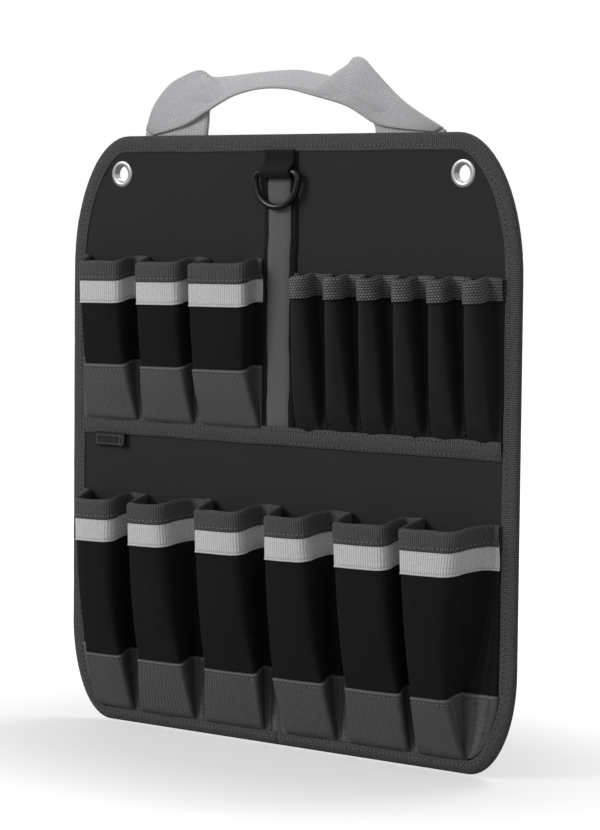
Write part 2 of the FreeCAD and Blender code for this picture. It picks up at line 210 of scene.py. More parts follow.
class Shader:
    """A material's nodes, on one Principled shader."""

    def __init__(self, name, roughness, sheen=0.0, metallic=0.0, coat=0.0):
        self.material = bpy.data.materials.new(name)
        self.material.use_nodes = True
        self.tree = self.material.node_tree
        self.tree.nodes.clear()
        output = self.tree.nodes.new("ShaderNodeOutputMaterial")
        self.surface = self.tree.nodes.new("ShaderNodeBsdfPrincipled")
        self.tree.links.new(self.surface.outputs[0], output.inputs["Surface"])
        self.surface.inputs["Roughness"].default_value = roughness
        self.surface.inputs["Sheen Weight"].default_value = sheen
        self.surface.inputs["Sheen Roughness"].default_value = 0.5
        self.surface.inputs["Metallic"].default_value = metallic
        self.surface.inputs["Coat Weight"].default_value = coat

    def node(self, kind, settings, values, output=0):
        """A node of a type, with its settings made first, then its sockets' values or links."""
        made = self.tree.nodes.new(kind)
        for name, setting in settings.items():
            setattr(made, name, setting)
        for name, given in values.items():
            if isinstance(given, Value):
                self.tree.links.new(given.socket, made.inputs[name])
            else:
                made.inputs[name].default_value = given
        return Value(self, made.outputs[output])

    def maths(self, operation, *given):
        """One Math node."""
        return self.node("ShaderNodeMath", {"operation": operation}, dict(enumerate(given)))

    def mix(self, factor, first, second):
        """A colour between two colours."""
        return self.node("ShaderNodeMix", {"data_type": "RGBA"},
                         {0: factor, 6: first, 7: second}, output=2)

    def uv(self):
        """The piece's own coordinates in metres, along it and across it."""
        both = self.node("ShaderNodeUVMap", {"uv_map": "UVMap"}, {})
        parts = self.node("ShaderNodeSeparateXYZ", {}, {0: both})
        node = parts.socket.node
        return both, Value(self, node.outputs[0]), Value(self, node.outputs[1])

    def place(self):
        """The piece's place in the panel, in metres."""
        return self.node("ShaderNodeTexCoord", {}, {}, output="Object")

    def noise(self, scale, vector, detail=3.0, roughness=0.5):
        """Soft random variation, with this many bumps in a metre."""
        return self.node("ShaderNodeTexNoise", {},
                         {"Vector": vector, "Scale": scale, "Detail": detail,
                          "Roughness": roughness})

    def finish(self, colour, height=None, depth=0.0002, strength=1.0, roughness=None):
        """Joins the colour, the relief and the roughness to the shader."""
        self.join("Base Color", colour)
        if roughness is not None:
            self.join("Roughness", roughness)
        if height is not None:
            self.join("Normal", self.node("ShaderNodeBump", {},
                      {"Strength": strength, "Distance": depth, "Height": height}))
        return self.material

    def join(self, name, given):
        """Gives one of the shader's sockets a link or a value."""
        if isinstance(given, Value):
            self.tree.links.new(given.socket, self.surface.inputs[name])
        else:
            self.surface.inputs[name].default_value = given


def rgba(colour, level=1.0):
    """A colour made brighter or darker, with its alpha."""
    return (*[min(1.0, channel * level) for channel in colour], 1.0)


def plain_weave(u, v, pitch):
    """The height of a plain weave of round threads, from 0 to 1."""
    across, along = u / pitch, v / pitch
    warp_on_top = (across.whole() + along.whole()) % 2.0
    warp = across.wave() * (along.wave() * 0.6 + 0.4)
    weft = along.wave() * (across.wave() * 0.6 + 0.4)
    return warp * warp_on_top + weft * (1.0 - warp_on_top)


def woven(name, colour, pitch, depth, roughness=0.9, sheen=0.02, fleck=0.25, mottle=0.18,
          specular=0.12):
    """Cloth in a plain weave: dark between its threads, mottled a little, fuzzed by wear."""
    shader = Shader(name, roughness, sheen)
    shader.surface.inputs["Specular IOR Level"].default_value = specular
    both, u, v = shader.uv()
    height = plain_weave(u, v, pitch)
    place = shader.place()
    slow = shader.noise(35.0, place)
    fine = shader.noise(1.2 / pitch, both, detail=2.0)
    shade = height * (fleck * 2.0) + (1.0 - fleck)
    shade = shade + (slow - 0.5) * mottle + (fine - 0.5) * (fleck * 1.6)
    dark = shader.mix(shade * 0.6, (0.0, 0.0, 0.0, 1.0), rgba(colour, 1.667))
    return shader.finish(dark, height + fine * 0.3, depth)


def ribbed(name, colour, pitch, depth, roughness=0.85, sheen=0.03, fleck=0.22, mottle=0.12,
           lengthwise=False, specular=0.18, cross=0.45):
    """Ribbed tape or webbing: ribs across it, or along it, crossed by a fine thread."""
    shader = Shader(name, roughness, sheen)
    shader.surface.inputs["Specular IOR Level"].default_value = specular
    both, u, v = shader.uv()
    rib, thread = (v, u) if lengthwise else (u, v)
    ribs = (rib / pitch).wave()
    twill = ((thread / (pitch * 0.8)) + (rib / pitch).whole() * 0.5).wave()
    place = shader.place()
    slow = shader.noise(40.0, place)
    fine = shader.noise(0.9 / pitch, both, detail=2.0)
    height = ribs * (twill * cross + (1.0 - cross))
    shade = height * (fleck * 2.0) + (1.0 - fleck)
    shade = shade + (slow - 0.5) * mottle + (fine - 0.5) * (fleck * 2.4)
    dark = shader.mix(shade * 0.6, (0.0, 0.0, 0.0, 1.0), rgba(colour, 1.667))
    return shader.finish(dark, height + fine * 0.3, depth)


def coarse_webbing(name, colour, pitch):
    """Open coarse webbing: bright round knots over dark gaps."""
    shader = Shader(name, 0.6, 0.05)
    both, u, v = shader.uv()
    lean = (v / pitch).whole() * 0.5
    knots = ((u / pitch) + lean).wave() * (v / pitch).wave()
    fine = shader.noise(0.7 / pitch, both, detail=2.0)
    patches = shader.noise(90.0, shader.place(), detail=1.0)
    bright = (knots * 1.3) ** 2.0 * (fine * 1.6 + 0.1) * (patches * 1.8)
    shade = shader.mix(bright, rgba(colour, 0.35), rgba(colour, 3.0))
    return shader.finish(shade, knots, 0.0007)


def thread_material(name, colour, sheen=0.1, specular=0.5):
    """Twisted sewing thread."""
    shader = Shader(name, 0.6, sheen)
    shader.surface.inputs["Specular IOR Level"].default_value = specular
    place = shader.place()
    twist = shader.noise(2200.0, place, detail=1.0)
    shade = shader.mix(twist, rgba(colour, 0.7), rgba(colour, 1.35))
    return shader.finish(shade, twist, 0.0001)


def plated(name, colour, roughness, metallic, coat=0.0):
    """Plated or lacquered metal with faint scuffs."""
    shader = Shader(name, roughness, metallic=metallic, coat=coat)
    shader.surface.inputs["Specular IOR Level"].default_value = 0.3
    place = shader.place()
    scuffs = shader.noise(900.0, place, detail=4.0, roughness=0.7)
    slow = shader.noise(120.0, place)
    shade = shader.mix(slow, rgba(colour, 0.92), rgba(colour, 1.04))
    rough = scuffs * 0.16 + (roughness - 0.06)
    return shader.finish(shade, scuffs, 0.00002, roughness=rough)


def moulded(name, colour):
    """Plain stiff sheet with a fine grain."""
    shader = Shader(name, 0.55)
    grain = shader.noise(1500.0, shader.place())
    shade = shader.mix(grain, rgba(colour, 0.9), rgba(colour, 1.1))
    return shader.finish(shade, grain, 0.00005)


MATERIALS = {}


def make_materials():
    """Every finish of the panel, by name."""
    tint = colours()
    MATERIALS.update({
        "cover": woven("cover cloth", tint.cover, 0.00065, 0.00006, fleck=0.12, mottle=0.1),
        "pocket": woven("pocket cloth", tint.pocket, 0.0012, 0.0003, fleck=0.55),
        "patch": ribbed("patch cloth", tint.patch, 0.0013, 0.0002, fleck=0.30),
        "patch_hem": ribbed("patch hem", rgba(tint.patch, 1.5)[:3], 0.0012, 0.0001, fleck=0.12),
        "sleeve": ribbed("sleeve cloth", rgba(tint.pocket, 1.1)[:3], 0.0012, 0.00012,
                         fleck=0.28, lengthwise=True),
        "band_edge": ribbed("band selvedge", rgba(tint.band, 1.2)[:3], 0.0009, 0.0001,
                            roughness=0.6, fleck=0.1),
        "binding": ribbed("binding tape", tint.binding, 0.0013, 0.0003, fleck=0.56),
        "band": ribbed("pale band", tint.band, 0.0016, 0.0003, roughness=0.6, fleck=0.2),
        "stripe": ribbed("grey stripe", rgba(tint.stripe, 1.1)[:3], 0.0009, 0.00006, fleck=0.08),
        "webbing": ribbed("black webbing", tint.webbing, 0.0016, 0.0003, fleck=0.3,
                          lengthwise=True),
        "handle": ribbed("handle webbing", tint.handle, 0.0015, 0.00026, fleck=0.16,
                         lengthwise=True, cross=0.8),
        "cuff": coarse_webbing("cuff webbing", tint.cuff, 0.0016),
        "pale_thread": thread_material("pale thread", tint.pale_thread),
        "grey_thread": thread_material("grey thread", tint.grey_thread),
        "black_thread": thread_material("black thread", tint.pocket, 0.02, 0.1),
        "handle_thread": thread_material("handle thread", tint.handle),
        # Painted shade: near-black stubs between stitches stand for the shade in the holes the
        # needle made.
        "hole": thread_material("needle hole shade", rgba(tint.webbing, 0.4)[:3]),
        "label": woven("label cloth", rgba(tint.webbing, 4.0)[:3], 0.0005, 0.00005),
        "steel": plated("bright plating", tint.steel, 0.3, 1.0),
        "lacquer": plated("black lacquer", tint.lacquer, 0.15, 0.0),
        "board": moulded("board", tint.stripe),
    })


# Mesh helpers


def new_piece(name, verts, faces, material, body, smooth=True):
    """A mesh piece of the panel that rides on a body, or on none."""
    mesh = bpy.data.meshes.new(name)
    mesh.from_pydata([tuple(v) for v in verts], [], faces)
    mesh.update()
    piece = bpy.data.objects.new(name, mesh)
    bpy.context.scene.collection.objects.link(piece)
    mesh.materials.append(MATERIALS[material])
    if smooth:
        mesh.polygons.foreach_set("use_smooth", [True] * len(mesh.polygons))
    if body:
        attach(piece, body)
    return piece


def weave_piece(name, points, uv, material, body="panel", thick=0.0, side=0.0, merge=False):
    """A piece of cloth from rows of points, with its own coordinates in metres.

    Seen from outside, rows go up and columns go to the right. Cloth has a thickness, laid
    outwards (side 1), inwards (side -1) or both ways (side 0).
    """
    rows, columns = points.shape[:2]
    index = np.arange(rows * columns).reshape(rows, columns)
    corners = (index[:-1, :-1], index[:-1, 1:], index[1:, 1:], index[1:, :-1])
    faces = np.stack([c.ravel() for c in corners], axis=1)
    piece = new_piece(name, points.reshape(-1, 3), faces.tolist(), material, body)
    layer = piece.data.uv_layers.new(name="UVMap")
    layer.data.foreach_set("uv", uv.reshape(-1, 2)[faces.ravel()].ravel())
    if merge:
        work = bmesh.new()
        work.from_mesh(piece.data)
        bmesh.ops.remove_doubles(work, verts=work.verts, dist=1e-6)
        work.to_mesh(piece.data)
        work.free()
    if thick:
        solid = piece.modifiers.new("thickness", "SOLIDIFY")
        solid.thickness = thick
        solid.offset = side
        solid.use_even_offset = False
    return piece


def run_length(points):
    """How far along a line of points each one lies."""
    steps = np.linalg.norm(np.diff(points, axis=0), axis=1)
    return np.concatenate([[0.0], np.cumsum(steps)])


def spread(along, up):
    """Coordinates in metres from distances along the rows and up the columns."""
    return np.stack(np.broadcast_arrays(along[None, :], up[:, None]), axis=2)


def grid_uv(points, along=None):
    """Coordinates in metres for rows of points: along the middle row, and up each column."""
    rows, columns = points.shape[:2]
    if along is None:
        along = run_length(points[rows // 2])
    return spread(along, run_length(points[:, columns // 2]))


def rounded(corners, cuts, runs=3, bends=6):
    """A path through corners, each inner one rounded from a distance before it to one after."""
    corners = [np.array(c, float) for c in corners]
    path = [corners[0]]
    for number in range(1, len(corners) - 1):
        before, here, after = corners[number - 1:number + 2]
        back, ahead = before - here, after - here
        room = 0.49 * min(np.linalg.norm(back), np.linalg.norm(ahead))
        cut = min(cuts[number - 1], room)
        start = here + back / np.linalg.norm(back) * cut
        end = here + ahead / np.linalg.norm(ahead) * cut
        last = path[-1]
        path += [last + (start - last) * step / runs for step in range(1, runs + 1)]
        for step in range(1, bends + 1):
            t = step / bends
            path.append(start * (1 - t) ** 2 + here * 2 * t * (1 - t) + end * t ** 2)
    last = path[-1]
    path += [last + (corners[-1] - last) * step / runs for step in range(1, runs + 1)]
    return np.array(path)


class Threads:
    """Rows of stitches, gathered into one mesh."""

    SIDES = 5
    RINGS = 5
    DENT = 0.45  # a needle hole's reach each way, as a share of the gap between stitches

    def __init__(self, thread=None, stitch=None, gap=None):
        sizes = stitches()
        self.radius = thread or sizes.thread
        self.stitch = stitch or sizes.stitch
        self.gap = gap or sizes.gap
        self.verts = []
        self.faces = []

    def row(self, points, normals, holes=None):
        """Stitches along a line on a surface, evenly spaced from end to end.

        Between them, holes get dark stubs where the thread goes down: painted shade for the dents
        the needle made.
        """
        points, normals = np.asarray(points, float), np.asarray(normals, float)
        if normals.ndim == 1:
            normals = np.broadcast_to(normals, points.shape)
        along = run_length(points)
        count = max(1, int(along[-1] / (self.stitch + self.gap)))
        step = along[-1] / count
        for number in range(count):
            start = number * step + self.gap / 2
            self.one(points, normals, along, start, start + step - self.gap)
            if holes:
                dent = self.DENT * self.gap
                holes.one(points, normals, along, max(0.0, number * step - dent),
                          number * step + dent)

    def one(self, points, normals, along, start, end):
        """One stitch: a bowed tube whose ends sink into the cloth."""
        base = len(self.verts)
        spots = np.linspace(start, end, self.RINGS)
        line = np.stack([np.interp(spots, along, points[:, k]) for k in range(3)], axis=1)
        lift = np.stack([np.interp(spots, along, normals[:, k]) for k in range(3)], axis=1)
        lift /= np.linalg.norm(lift, axis=1)[:, None]
        tangent = line[-1] - line[0]
        tangent /= max(np.linalg.norm(tangent), 1e-9)
        share = np.linspace(0.0, 1.0, self.RINGS)
        bow = np.sin(share * math.pi)
        for ring in range(self.RINGS):
            side = np.cross(lift[ring], tangent)
            centre = line[ring] + lift[ring] * self.radius * (1.4 * bow[ring] - 0.9)
            size = self.radius * (0.75 + 0.25 * bow[ring])
            for turn in range(self.SIDES):
                angle = 2 * math.pi * turn / self.SIDES
                self.verts.append(centre + size * (math.cos(angle) * side
                                                   + math.sin(angle) * lift[ring]))
        for ring in range(self.RINGS - 1):
            for turn in range(self.SIDES):
                a = base + ring * self.SIDES + turn
                b = base + ring * self.SIDES + (turn + 1) % self.SIDES
                self.faces.append((a, b, b + self.SIDES, a + self.SIDES))
        self.faces.append([base + turn for turn in reversed(range(self.SIDES))])
        last = base + (self.RINGS - 1) * self.SIDES
        self.faces.append([last + turn for turn in range(self.SIDES)])

    def make(self, name, material, slot, body="panel"):
        """The gathered stitches as one piece."""
        piece = new_piece(name, self.verts, self.faces, material, body)
        return piece


# The panel's outline and levels, from the frame

PANEL_LOW, PANEL_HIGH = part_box("edge_binding")
COVER_LOW, COVER_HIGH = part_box("front_cover")
TAPE_LOW, TAPE_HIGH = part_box("cross_tape")
FACE = COVER_LOW.y
BACK = PANEL_HIGH.y
TOP = PANEL_HIGH.z
BOTTOM = PANEL_LOW.z
HALF_WIDTH = PANEL_HIGH.x
FIELD = TAPE_HIGH.x
OUT = np.array([0.0, -1.0, 0.0])


def outline(inset=0.0, straight=40, bend=18):
    """The panel's edge from the middle of its foot, anticlockwise from the front, and its
    outward directions: two arrays of (x, z)."""
    size = cloth()
    low, high = BOTTOM + size.bottom_rise, TOP - size.top_rise
    corners = (
        (1, low, size.bottom_run, size.bottom_rise, 1.5 * math.pi),
        (1, high, size.top_run, size.top_rise, 0.0),
        (-1, high, size.top_run, size.top_rise, 0.5 * math.pi),
        (-1, low, size.bottom_run, size.bottom_rise, math.pi),
    )
    points, normals = [], []

    def run_to(point, direction):
        """A straight run from the last point."""
        start = points[-1]
        for step in range(1, straight):
            points.append(start + (point - start) * step / straight)
            normals.append(direction)

    points.append(np.array([0.0, BOTTOM]))
    normals.append(np.array([0.0, -1.0]))
    for hand, level, run, rise, first in corners:
        centre = np.array([hand * (HALF_WIDTH - run), level])
        angles = first + np.linspace(0.0, 0.5 * math.pi, bend)
        arc = centre + np.stack([run * np.cos(angles), rise * np.sin(angles)], axis=1)
        facing = np.stack([np.cos(angles) / run, np.sin(angles) / rise], axis=1)
        facing /= np.linalg.norm(facing, axis=1)[:, None]
        run_to(arc[0], facing[0])
        points += list(arc)
        normals += list(facing)
    run_to(points[0], normals[0])
    points.append(points[0])
    normals.append(normals[0])
    points, normals = np.array(points), np.array(normals)
    return points - normals * inset, normals


def on_panel(flat, y):
    """Points of (x, z) on a plane of constant depth."""
    flat = np.asarray(flat, float)
    depth = np.broadcast_to(y, flat.shape[:-1])
    return np.stack([flat[..., 0], depth, flat[..., 1]], axis=-1)


def smooth_step(low, high, value):
    """0 up to a low value and 1 from a high one, with a smooth rise between them."""
    share = np.clip((np.asarray(value, float) - low) / (high - low), 0.0, 1.0)
    return share * share * (3.0 - 2.0 * share)


def spline(points, count):
    """Evenly spaced points on a smooth curve through a few points."""
    points = np.array(points, float)
    ends = np.vstack([2 * points[0] - points[1], points, 2 * points[-1] - points[-2]])
    fine = []
    for k in range(1, len(ends) - 2):
        a, b, c, d = ends[k - 1:k + 3]
        for t in np.linspace(0.0, 1.0, 24, endpoint=k == len(ends) - 3):
            fine.append(0.5 * (2 * b + (c - a) * t + (2 * a - 5 * b + 4 * c - d) * t ** 2
                               + (3 * b - a - 3 * c + d) * t ** 3))
    fine = np.array(fine)
    along = run_length(fine)
    spots = np.linspace(0.0, along[-1], count)
    return np.stack([np.interp(spots, along, fine[:, k]) for k in range(3)], axis=1)


def half_width(z, inset):
    """The panel's half width at a height, some way in from its edge."""
    size = cloth()
    z = np.asarray(z, float)
    run_top, rise_top = size.top_run - inset, size.top_rise - inset
    run_low, rise_low = size.bottom_run - inset, size.bottom_rise - inset
    up = np.clip((z - (TOP - size.top_rise)) / rise_top, 0.0, 1.0)
    down = np.clip(((BOTTOM + size.bottom_rise) - z) / rise_low, 0.0, 1.0)
    lost = run_top * (1 - np.sqrt(1 - up ** 2)) + run_low * (1 - np.sqrt(1 - down ** 2))
    return HALF_WIDTH - inset - lost


# Covers and edge tape

COVER_INSET = 3 * MM
COVER_THICK = 0.6 * MM


def cover_sheet(name, y, hand, undulation, node):
    """One cover cloth, cut to the panel's outline and a little baggy where nothing is sewn."""
    inset = COVER_INSET
    share = np.linspace(-1.0, 1.0, 81)
    z = 0.5 * (TOP + BOTTOM) + np.sin(share * math.pi / 2) * (0.5 * (TOP - BOTTOM) - inset)
    across = np.linspace(-1.0, 1.0, 57) * hand
    x = half_width(z, inset)[:, None] * across[None, :]
    z = np.broadcast_to(z[:, None], x.shape)
    waves = (np.sin(x * 31 + 1.3) * np.sin(z * 23 + 0.4) + 0.6 * np.sin(x * 57 - z * 41)) * 0.35
    header = smooth_step(-0.050, -0.035, z) * (1 - smooth_step(0.0, 0.012, z))
    between = smooth_step(-0.200, -0.190, z) * (1 - smooth_step(-0.180, -0.170, z))
    clear = 1 - smooth_step(0.120, 0.150, np.abs(x))
    bulge = undulation * (0.5 + waves) * np.maximum(header, between) * clear
    points = np.stack([x, y - hand * bulge, z], axis=2)
    uv = np.stack([x, z], axis=2)
    piece = weave_piece(name, points, uv, "cover", thick=COVER_THICK, side=-1.0)
    pierce(piece)
    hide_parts(node)
    return piece


class PANEL_OT_covers(Operator):
    """Lays the two cover cloths over the board"""
    bl_idname = "tool_panel.covers"
    bl_label = "Covers and board"

    def execute(self, context):
        cover_sheet("front_cover_cloth", FACE, 1, 0.5 * MM, "front_cover")
        cover_sheet("back_cover_cloth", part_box("back_cover")[1].y, -1, 0.3 * MM, "back_cover")
        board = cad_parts["stiffener_board"]
        board.data.materials.clear()
        board.data.materials.append(MATERIALS["board"])
        return {"FINISHED"}


def tape_wobble(along, seed):
    """A slow hand-sewn wander along a tape, between about -1 and 1."""
    return (0.5 * np.sin(along * 61 + seed) + 0.3 * np.sin(along * 143 + 2.1 * seed)
            + 0.2 * np.sin(along * 337 + 0.7 * seed))


class PANEL_OT_binding(Operator):
    """Folds the edge tape round the covers and sews it down"""
    bl_idname = "tool_panel.binding"
    bl_label = "Edge tape"

    WANDER = 0.35 * MM
    RIPPLE = 0.12 * MM
    NARROWED = 1.75 * MM  # how much narrower the tape is at the foot
    RAISED = 1.5 * MM  # how far it stands off there, over the pockets' feet
    FLAT = (27.2 * MM, 1420 * MM)

    def execute(self, context):
        points, normals = outline()
        along = run_length(points)
        level = points[:, 1] - BOTTOM
        face = cloth().binding_face - self.NARROWED * (1 - smooth_step(4 * MM, 30 * MM, level))
        front = face + tape_wobble(along, 1.0) * self.WANDER
        back = face + tape_wobble(along, 4.0) * self.WANDER
        deep = FACE - PANEL_LOW.y
        ripple = tape_wobble(along * 2.0, 2.0) * self.RIPPLE
        raised = self.RAISED * (1 - smooth_step(10 * MM, 50 * MM, level))
        # How far in from the edge, and how deep: round from the back to the front.
        profile = (
            (back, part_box("back_cover")[1].y - 0.1 * MM), (back - 0.3 * MM, BACK - 0.15 * MM),
            (back - 1.2 * MM, BACK), (back - 4.0 * MM, BACK + 0.06 * MM),
            (3.5 * MM, BACK + 0.10 * MM), (1.4 * MM, BACK - 0.12 * MM),
            (0.45 * MM, BACK - 0.75 * MM), (0.05 * MM, BACK - 1.7 * MM),
            (0.0, 0.5 * (FACE + BACK) - 0.4 * MM), (0.05 * MM, FACE + 1.0 * MM),
            (0.45 * MM, FACE + 0.15 * MM), (1.4 * MM, PANEL_LOW.y + 0.12 * MM),
            (3.5 * MM, PANEL_LOW.y - 0.10 * MM), (front - 4.0 * MM, PANEL_LOW.y - 0.06 * MM),
            (front - 3.2 * MM, PANEL_LOW.y + 0.08 * MM),
            (front - 2.4 * MM, PANEL_LOW.y - 0.03 * MM), (front - 0.9 * MM, PANEL_LOW.y - 0.02 * MM),
            (front - 0.25 * MM, PANEL_LOW.y + 0.12 * deep), (front, FACE + 0.1 * MM),
        )
        rows = []
        for inset, y in profile:
            flat = points - normals * np.broadcast_to(inset, along.shape)[:, None]
            lift = raised * float(smooth_step(1.0 * MM, 4.0 * MM, np.min(inset)))
            rows.append(on_panel(flat, y - (ripple + lift) * (y < FACE + 0.2 * MM)
                                 + ripple * (y > BACK - 0.3 * MM)))
        rows = np.array(rows)
        piece = weave_piece("edge_tape", rows, grid_uv(rows, along), "binding", thick=0.55 * MM,
                            side=-1.0, merge=True)
        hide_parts("edge_binding")
        threads = Threads()
        # dark stubs between the stitches: painted shade in the holes
        holes = Threads(thread=0.3 * MM)
        edge = stitches().edge
        threads.row(on_panel(points - normals * (front - edge)[:, None],
                             PANEL_LOW.y - 0.10 * MM - raised), OUT, holes)
        threads.row(on_panel(points - normals * (back - edge)[:, None], BACK), -OUT, holes)
        sewn = threads.make("edge_tape_stitches", "grey_thread", "binding_tape")
        dents = holes.make("edge_tape_needle_hole_shade", "hole", "binding_tape")
        return {"FINISHED"}


# Pockets


class Pocket:
    """A pocket's cloth as it stands open: a box pleat sewn down at both sides and at its foot.

    Each side's insets are how far in from its seam the front corner stands, at the foot, at
    the top of the patch and at the mouth, and its bases are how far in the pleat leaves the
    panel there. Bends are how far from each corner of the plan its rounding reaches. These
    and the depths are in millimetres, and heights are shares from the foot to the mouth.
    """

    REACH = 2.0 * MM  # how far the foot runs on under the tape below it
    TRIM = 9.5 * MM  # how far the cloth stays in from the panel's edge
    TILT = 3.0 * MM  # how much lower the front hangs at its left than at its middle
    SEAT = 0.65 * MM  # how far the sewn-down cloth lies from the cover
    MOUTH_SEAT = 1.15 * MM  # how much further it lies at the mouth, with the tape under it
    CORNER_ROOM = 1.5 * MM
    BASE_ROOM = 1.0 * MM
    FOOT_ROWS = (0.0, 0.008, 0.016, 0.026)  # closer together where the foot is tucked in

    def __init__(self, node, left, right, left_base, right_base, foot, depth, knee, bends, seed,
                 droop=None, crease=0.15, belly=1.0, tuck=0.022):
        low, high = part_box(node)
        self.node = node
        self.left_seam, self.right_seam = low.x, high.x
        self.foot, self.mouth = low.z - self.REACH, high.z
        self.tall = self.mouth - self.foot
        self.left, self.right = np.array(left) * MM, np.array(right) * MM
        self.left_base, self.right_base = np.array(left_base) * MM, np.array(right_base) * MM
        self.foot_depth, self.depth = foot * MM, depth * MM
        self.knee = knee
        self.bends = np.array(bends) * MM
        self.seed = seed
        self.crease = crease
        self.belly = belly * MM
        self.tuck = tuck
        self.droop = cloth().droop if droop is None else droop * MM

    def height(self, z):
        """The share of the pocket's height that a level is at."""
        return (z - self.foot) / self.tall

    def corners(self, t):
        """The plan's corners at one height, and where its front and its seat are."""
        keys = (0.0, self.knee, 1.0)
        limit = float(half_width(self.foot + self.tall * t, self.TRIM))
        left_seam = max(self.left_seam, -limit)
        right_seam = min(self.right_seam, limit)
        left = max(self.left_seam + np.interp(t, keys, self.left), left_seam + self.CORNER_ROOM)
        right = min(self.right_seam - np.interp(t, keys, self.right),
                    right_seam - self.CORNER_ROOM)
        left_base = max(self.left_seam + np.interp(t, keys, self.left_base),
                        left_seam + self.BASE_ROOM)
        right_base = min(self.right_seam - np.interp(t, keys, self.right_base),
                         right_seam - self.BASE_ROOM)
        seat = self.SEAT + self.MOUTH_SEAT * float(smooth_step(0.85, 0.92, t))
        depth = self.foot_depth + (self.depth - self.foot_depth) * (1 - (1 - t) ** 2.5)
        tucked = float(smooth_step(0.0, self.tuck, t))
        depth = seat + (depth - seat) * (0.12 + 0.88 * tucked)
        lean = 0.35 * self.bends[3] * t
        corners = [
            (left_seam, seat), (left_base, seat),
            (0.55 * left_base + 0.45 * left - 0.3 * lean, seat + 0.42 * (depth - seat)),
            (left, depth), (right, depth),
            (0.50 * right_base + 0.50 * right - 0.4 * lean, seat + 0.48 * (depth - seat)),
            (right_base, seat), (right_seam, seat),
        ]
        return corners, left, right, seat, depth

    def plan(self, t):
        """The cloth's line at one height, as (x, depth) from the left seam to the right, and
        how far forward each of its points is, from 0 at the seat to 1 at the front."""
        corners, left, right, seat, depth = self.corners(t)
        loose = self.crease + (1 - self.crease) * float(smooth_step(0.2, 0.6, t))
        path = rounded(corners, self.bends * loose, runs=4, bends=7)
        share = np.clip((path[:, 0] - left) / (right - left), 0.0, 1.0)
        front = smooth_step(0.75, 0.98, (path[:, 1] - seat) / (depth - seat))
        rise = 1.0 * MM + (self.belly - 1.0 * MM) * float(smooth_step(0.05, 0.4, t))
        bow = np.sin(share * math.pi) * front * (0.4 + 1.1 * t) * rise
        wave = np.sin(share * 7.0 + self.seed * 2.3 + t * 3.1) * np.sin(t * 5.3 + self.seed)
        path[:, 1] += bow + wave * front * 0.45 * MM * np.sin(share * math.pi)
        weight = np.clip((path[:, 1] - seat) / (depth - seat), 0.0, 1.0)
        return path, weight

    def line(self, t, lift=0.0):
        """Points along the cloth at one height, raised from it, and the outward directions."""
        path, weight = self.plan(t)
        tangent = np.gradient(path, axis=0)
        tangent /= np.linalg.norm(tangent, axis=1)[:, None]
        outward = np.stack([-tangent[:, 1], tangent[:, 0]], axis=1)
        place = path + outward * lift
        hang = self.droop + np.linspace(1.0, -1.0, len(path)) * self.TILT
        z = self.foot + self.tall * t
        z = z - hang * weight ** 1.3 * smooth_step(0.05, 0.30, t)
        z = z + np.sin(path[:, 0] * 260 + self.seed) * 0.25 * MM * smooth_step(0.9, 1.0, t)
        y = FACE - np.maximum(place[:, 1], 0.35 * MM)
        points = np.stack([place[:, 0], y, z], axis=1)
        facing = np.stack([outward[:, 0], -outward[:, 1], np.zeros(len(path))], axis=1)
        return points, facing

    def grid(self, heights, lifts):
        """Rows of points at some heights, each raised from the cloth."""
        return np.array([self.line(t, lift)[0] for t, lift in zip(heights, lifts)])

    def arc(self):
        """Distances along the cloth's line near the mouth."""
        points, _ = self.line(0.9)
        return run_length(points)

    def rows(self, top, count):
        """Heights from the foot up to one, closer together at the foot."""
        return np.concatenate([self.FOOT_ROWS, np.linspace(0.05, top, count)])

    def layer(self, name, heights, lifts, material, thick, slot):
        """A layer of cloth with its rows at some heights, raised from the pocket's own."""
        uv = spread(self.arc(), self.foot + self.tall * heights)
        piece = weave_piece(name, self.grid(heights, lifts), uv, material, thick=thick)
        return piece

    def body(self, name, heights, material):
        """The pocket's own cloth, which stands for its node."""
        piece = self.layer(name, heights, np.zeros(len(heights)), material, cloth().cloth,
                           "pocket_cloth")
        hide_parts(self.node)
        return piece

    def panel(self, name, low, high, lift, thick, material, slot, count, tuck=0.0):
        """A layer of the pocket between two levels, its top tucked in against the cloth."""
        heights = np.linspace(self.height(low), self.height(high), count)
        if low <= self.foot:
            heights = self.rows(self.height(high), count)
        lifts = np.full(len(heights), lift)
        if tuck:
            heights = np.concatenate([heights, [heights[-1] + 0.25 * MM / self.tall]])
            lifts = np.concatenate([lifts, [lift - tuck]])
        return self.layer(name, heights, lifts, material, thick, slot)

    def mouth_tape(self, name, tall, material, slot, fullness=1.0):
        """The tape folded over the mouth's edge, with its fold a little proud."""
        # How far below the edge, and how far out from the cloth: front, fold, back.
        profile = ((tall, 1.10), (tall - 1.2, 1.16), (0.62 * tall, 1.22), (0.3 * tall, 1.30),
                   (1.2, 1.35), (0.1, 1.15), (-0.75, 0.55), (-1.0, -0.05), (-0.7, -0.65),
                   (0.2, -1.15), (1.4, -1.30), (0.5 * tall, -1.15), (tall, -1.05))
        heights = np.array([1.0 - (drop + 1.0) * MM / self.tall for drop, _ in profile])
        lifts = np.array([lift * fullness * MM for _, lift in profile])
        points = self.grid(heights, lifts)
        piece = weave_piece(name, points, grid_uv(points, self.arc()), material,
                            thick=cloth().tape, side=0.0)
        return piece

    def sew(self, threads, z, lift, holes=None):
        """A row of stitches across the pocket, short of its two ends."""
        points, facing = self.line(self.height(z), lift)
        threads.row(points[2:-2], facing[2:-2], holes)

    def seams(self, threads, low, high, lift):
        """A row of stitches up each side of the pocket, close to its seam."""
        for side in (1, -2):
            heights = np.linspace(self.height(low), self.height(high), 12)
            threads.row([self.line(t, lift)[0][side] for t in heights], OUT)

    def declare(self, piece, with_pieces):
        """Works out the length of the cloth's line near the mouth, and keeps nothing of it."""
        float(self.arc()[-1])


MOUTH_TAPE_TALL = 11.3
BAND_TALL = 15.0
SEAM_STITCH = 2.2 * MM


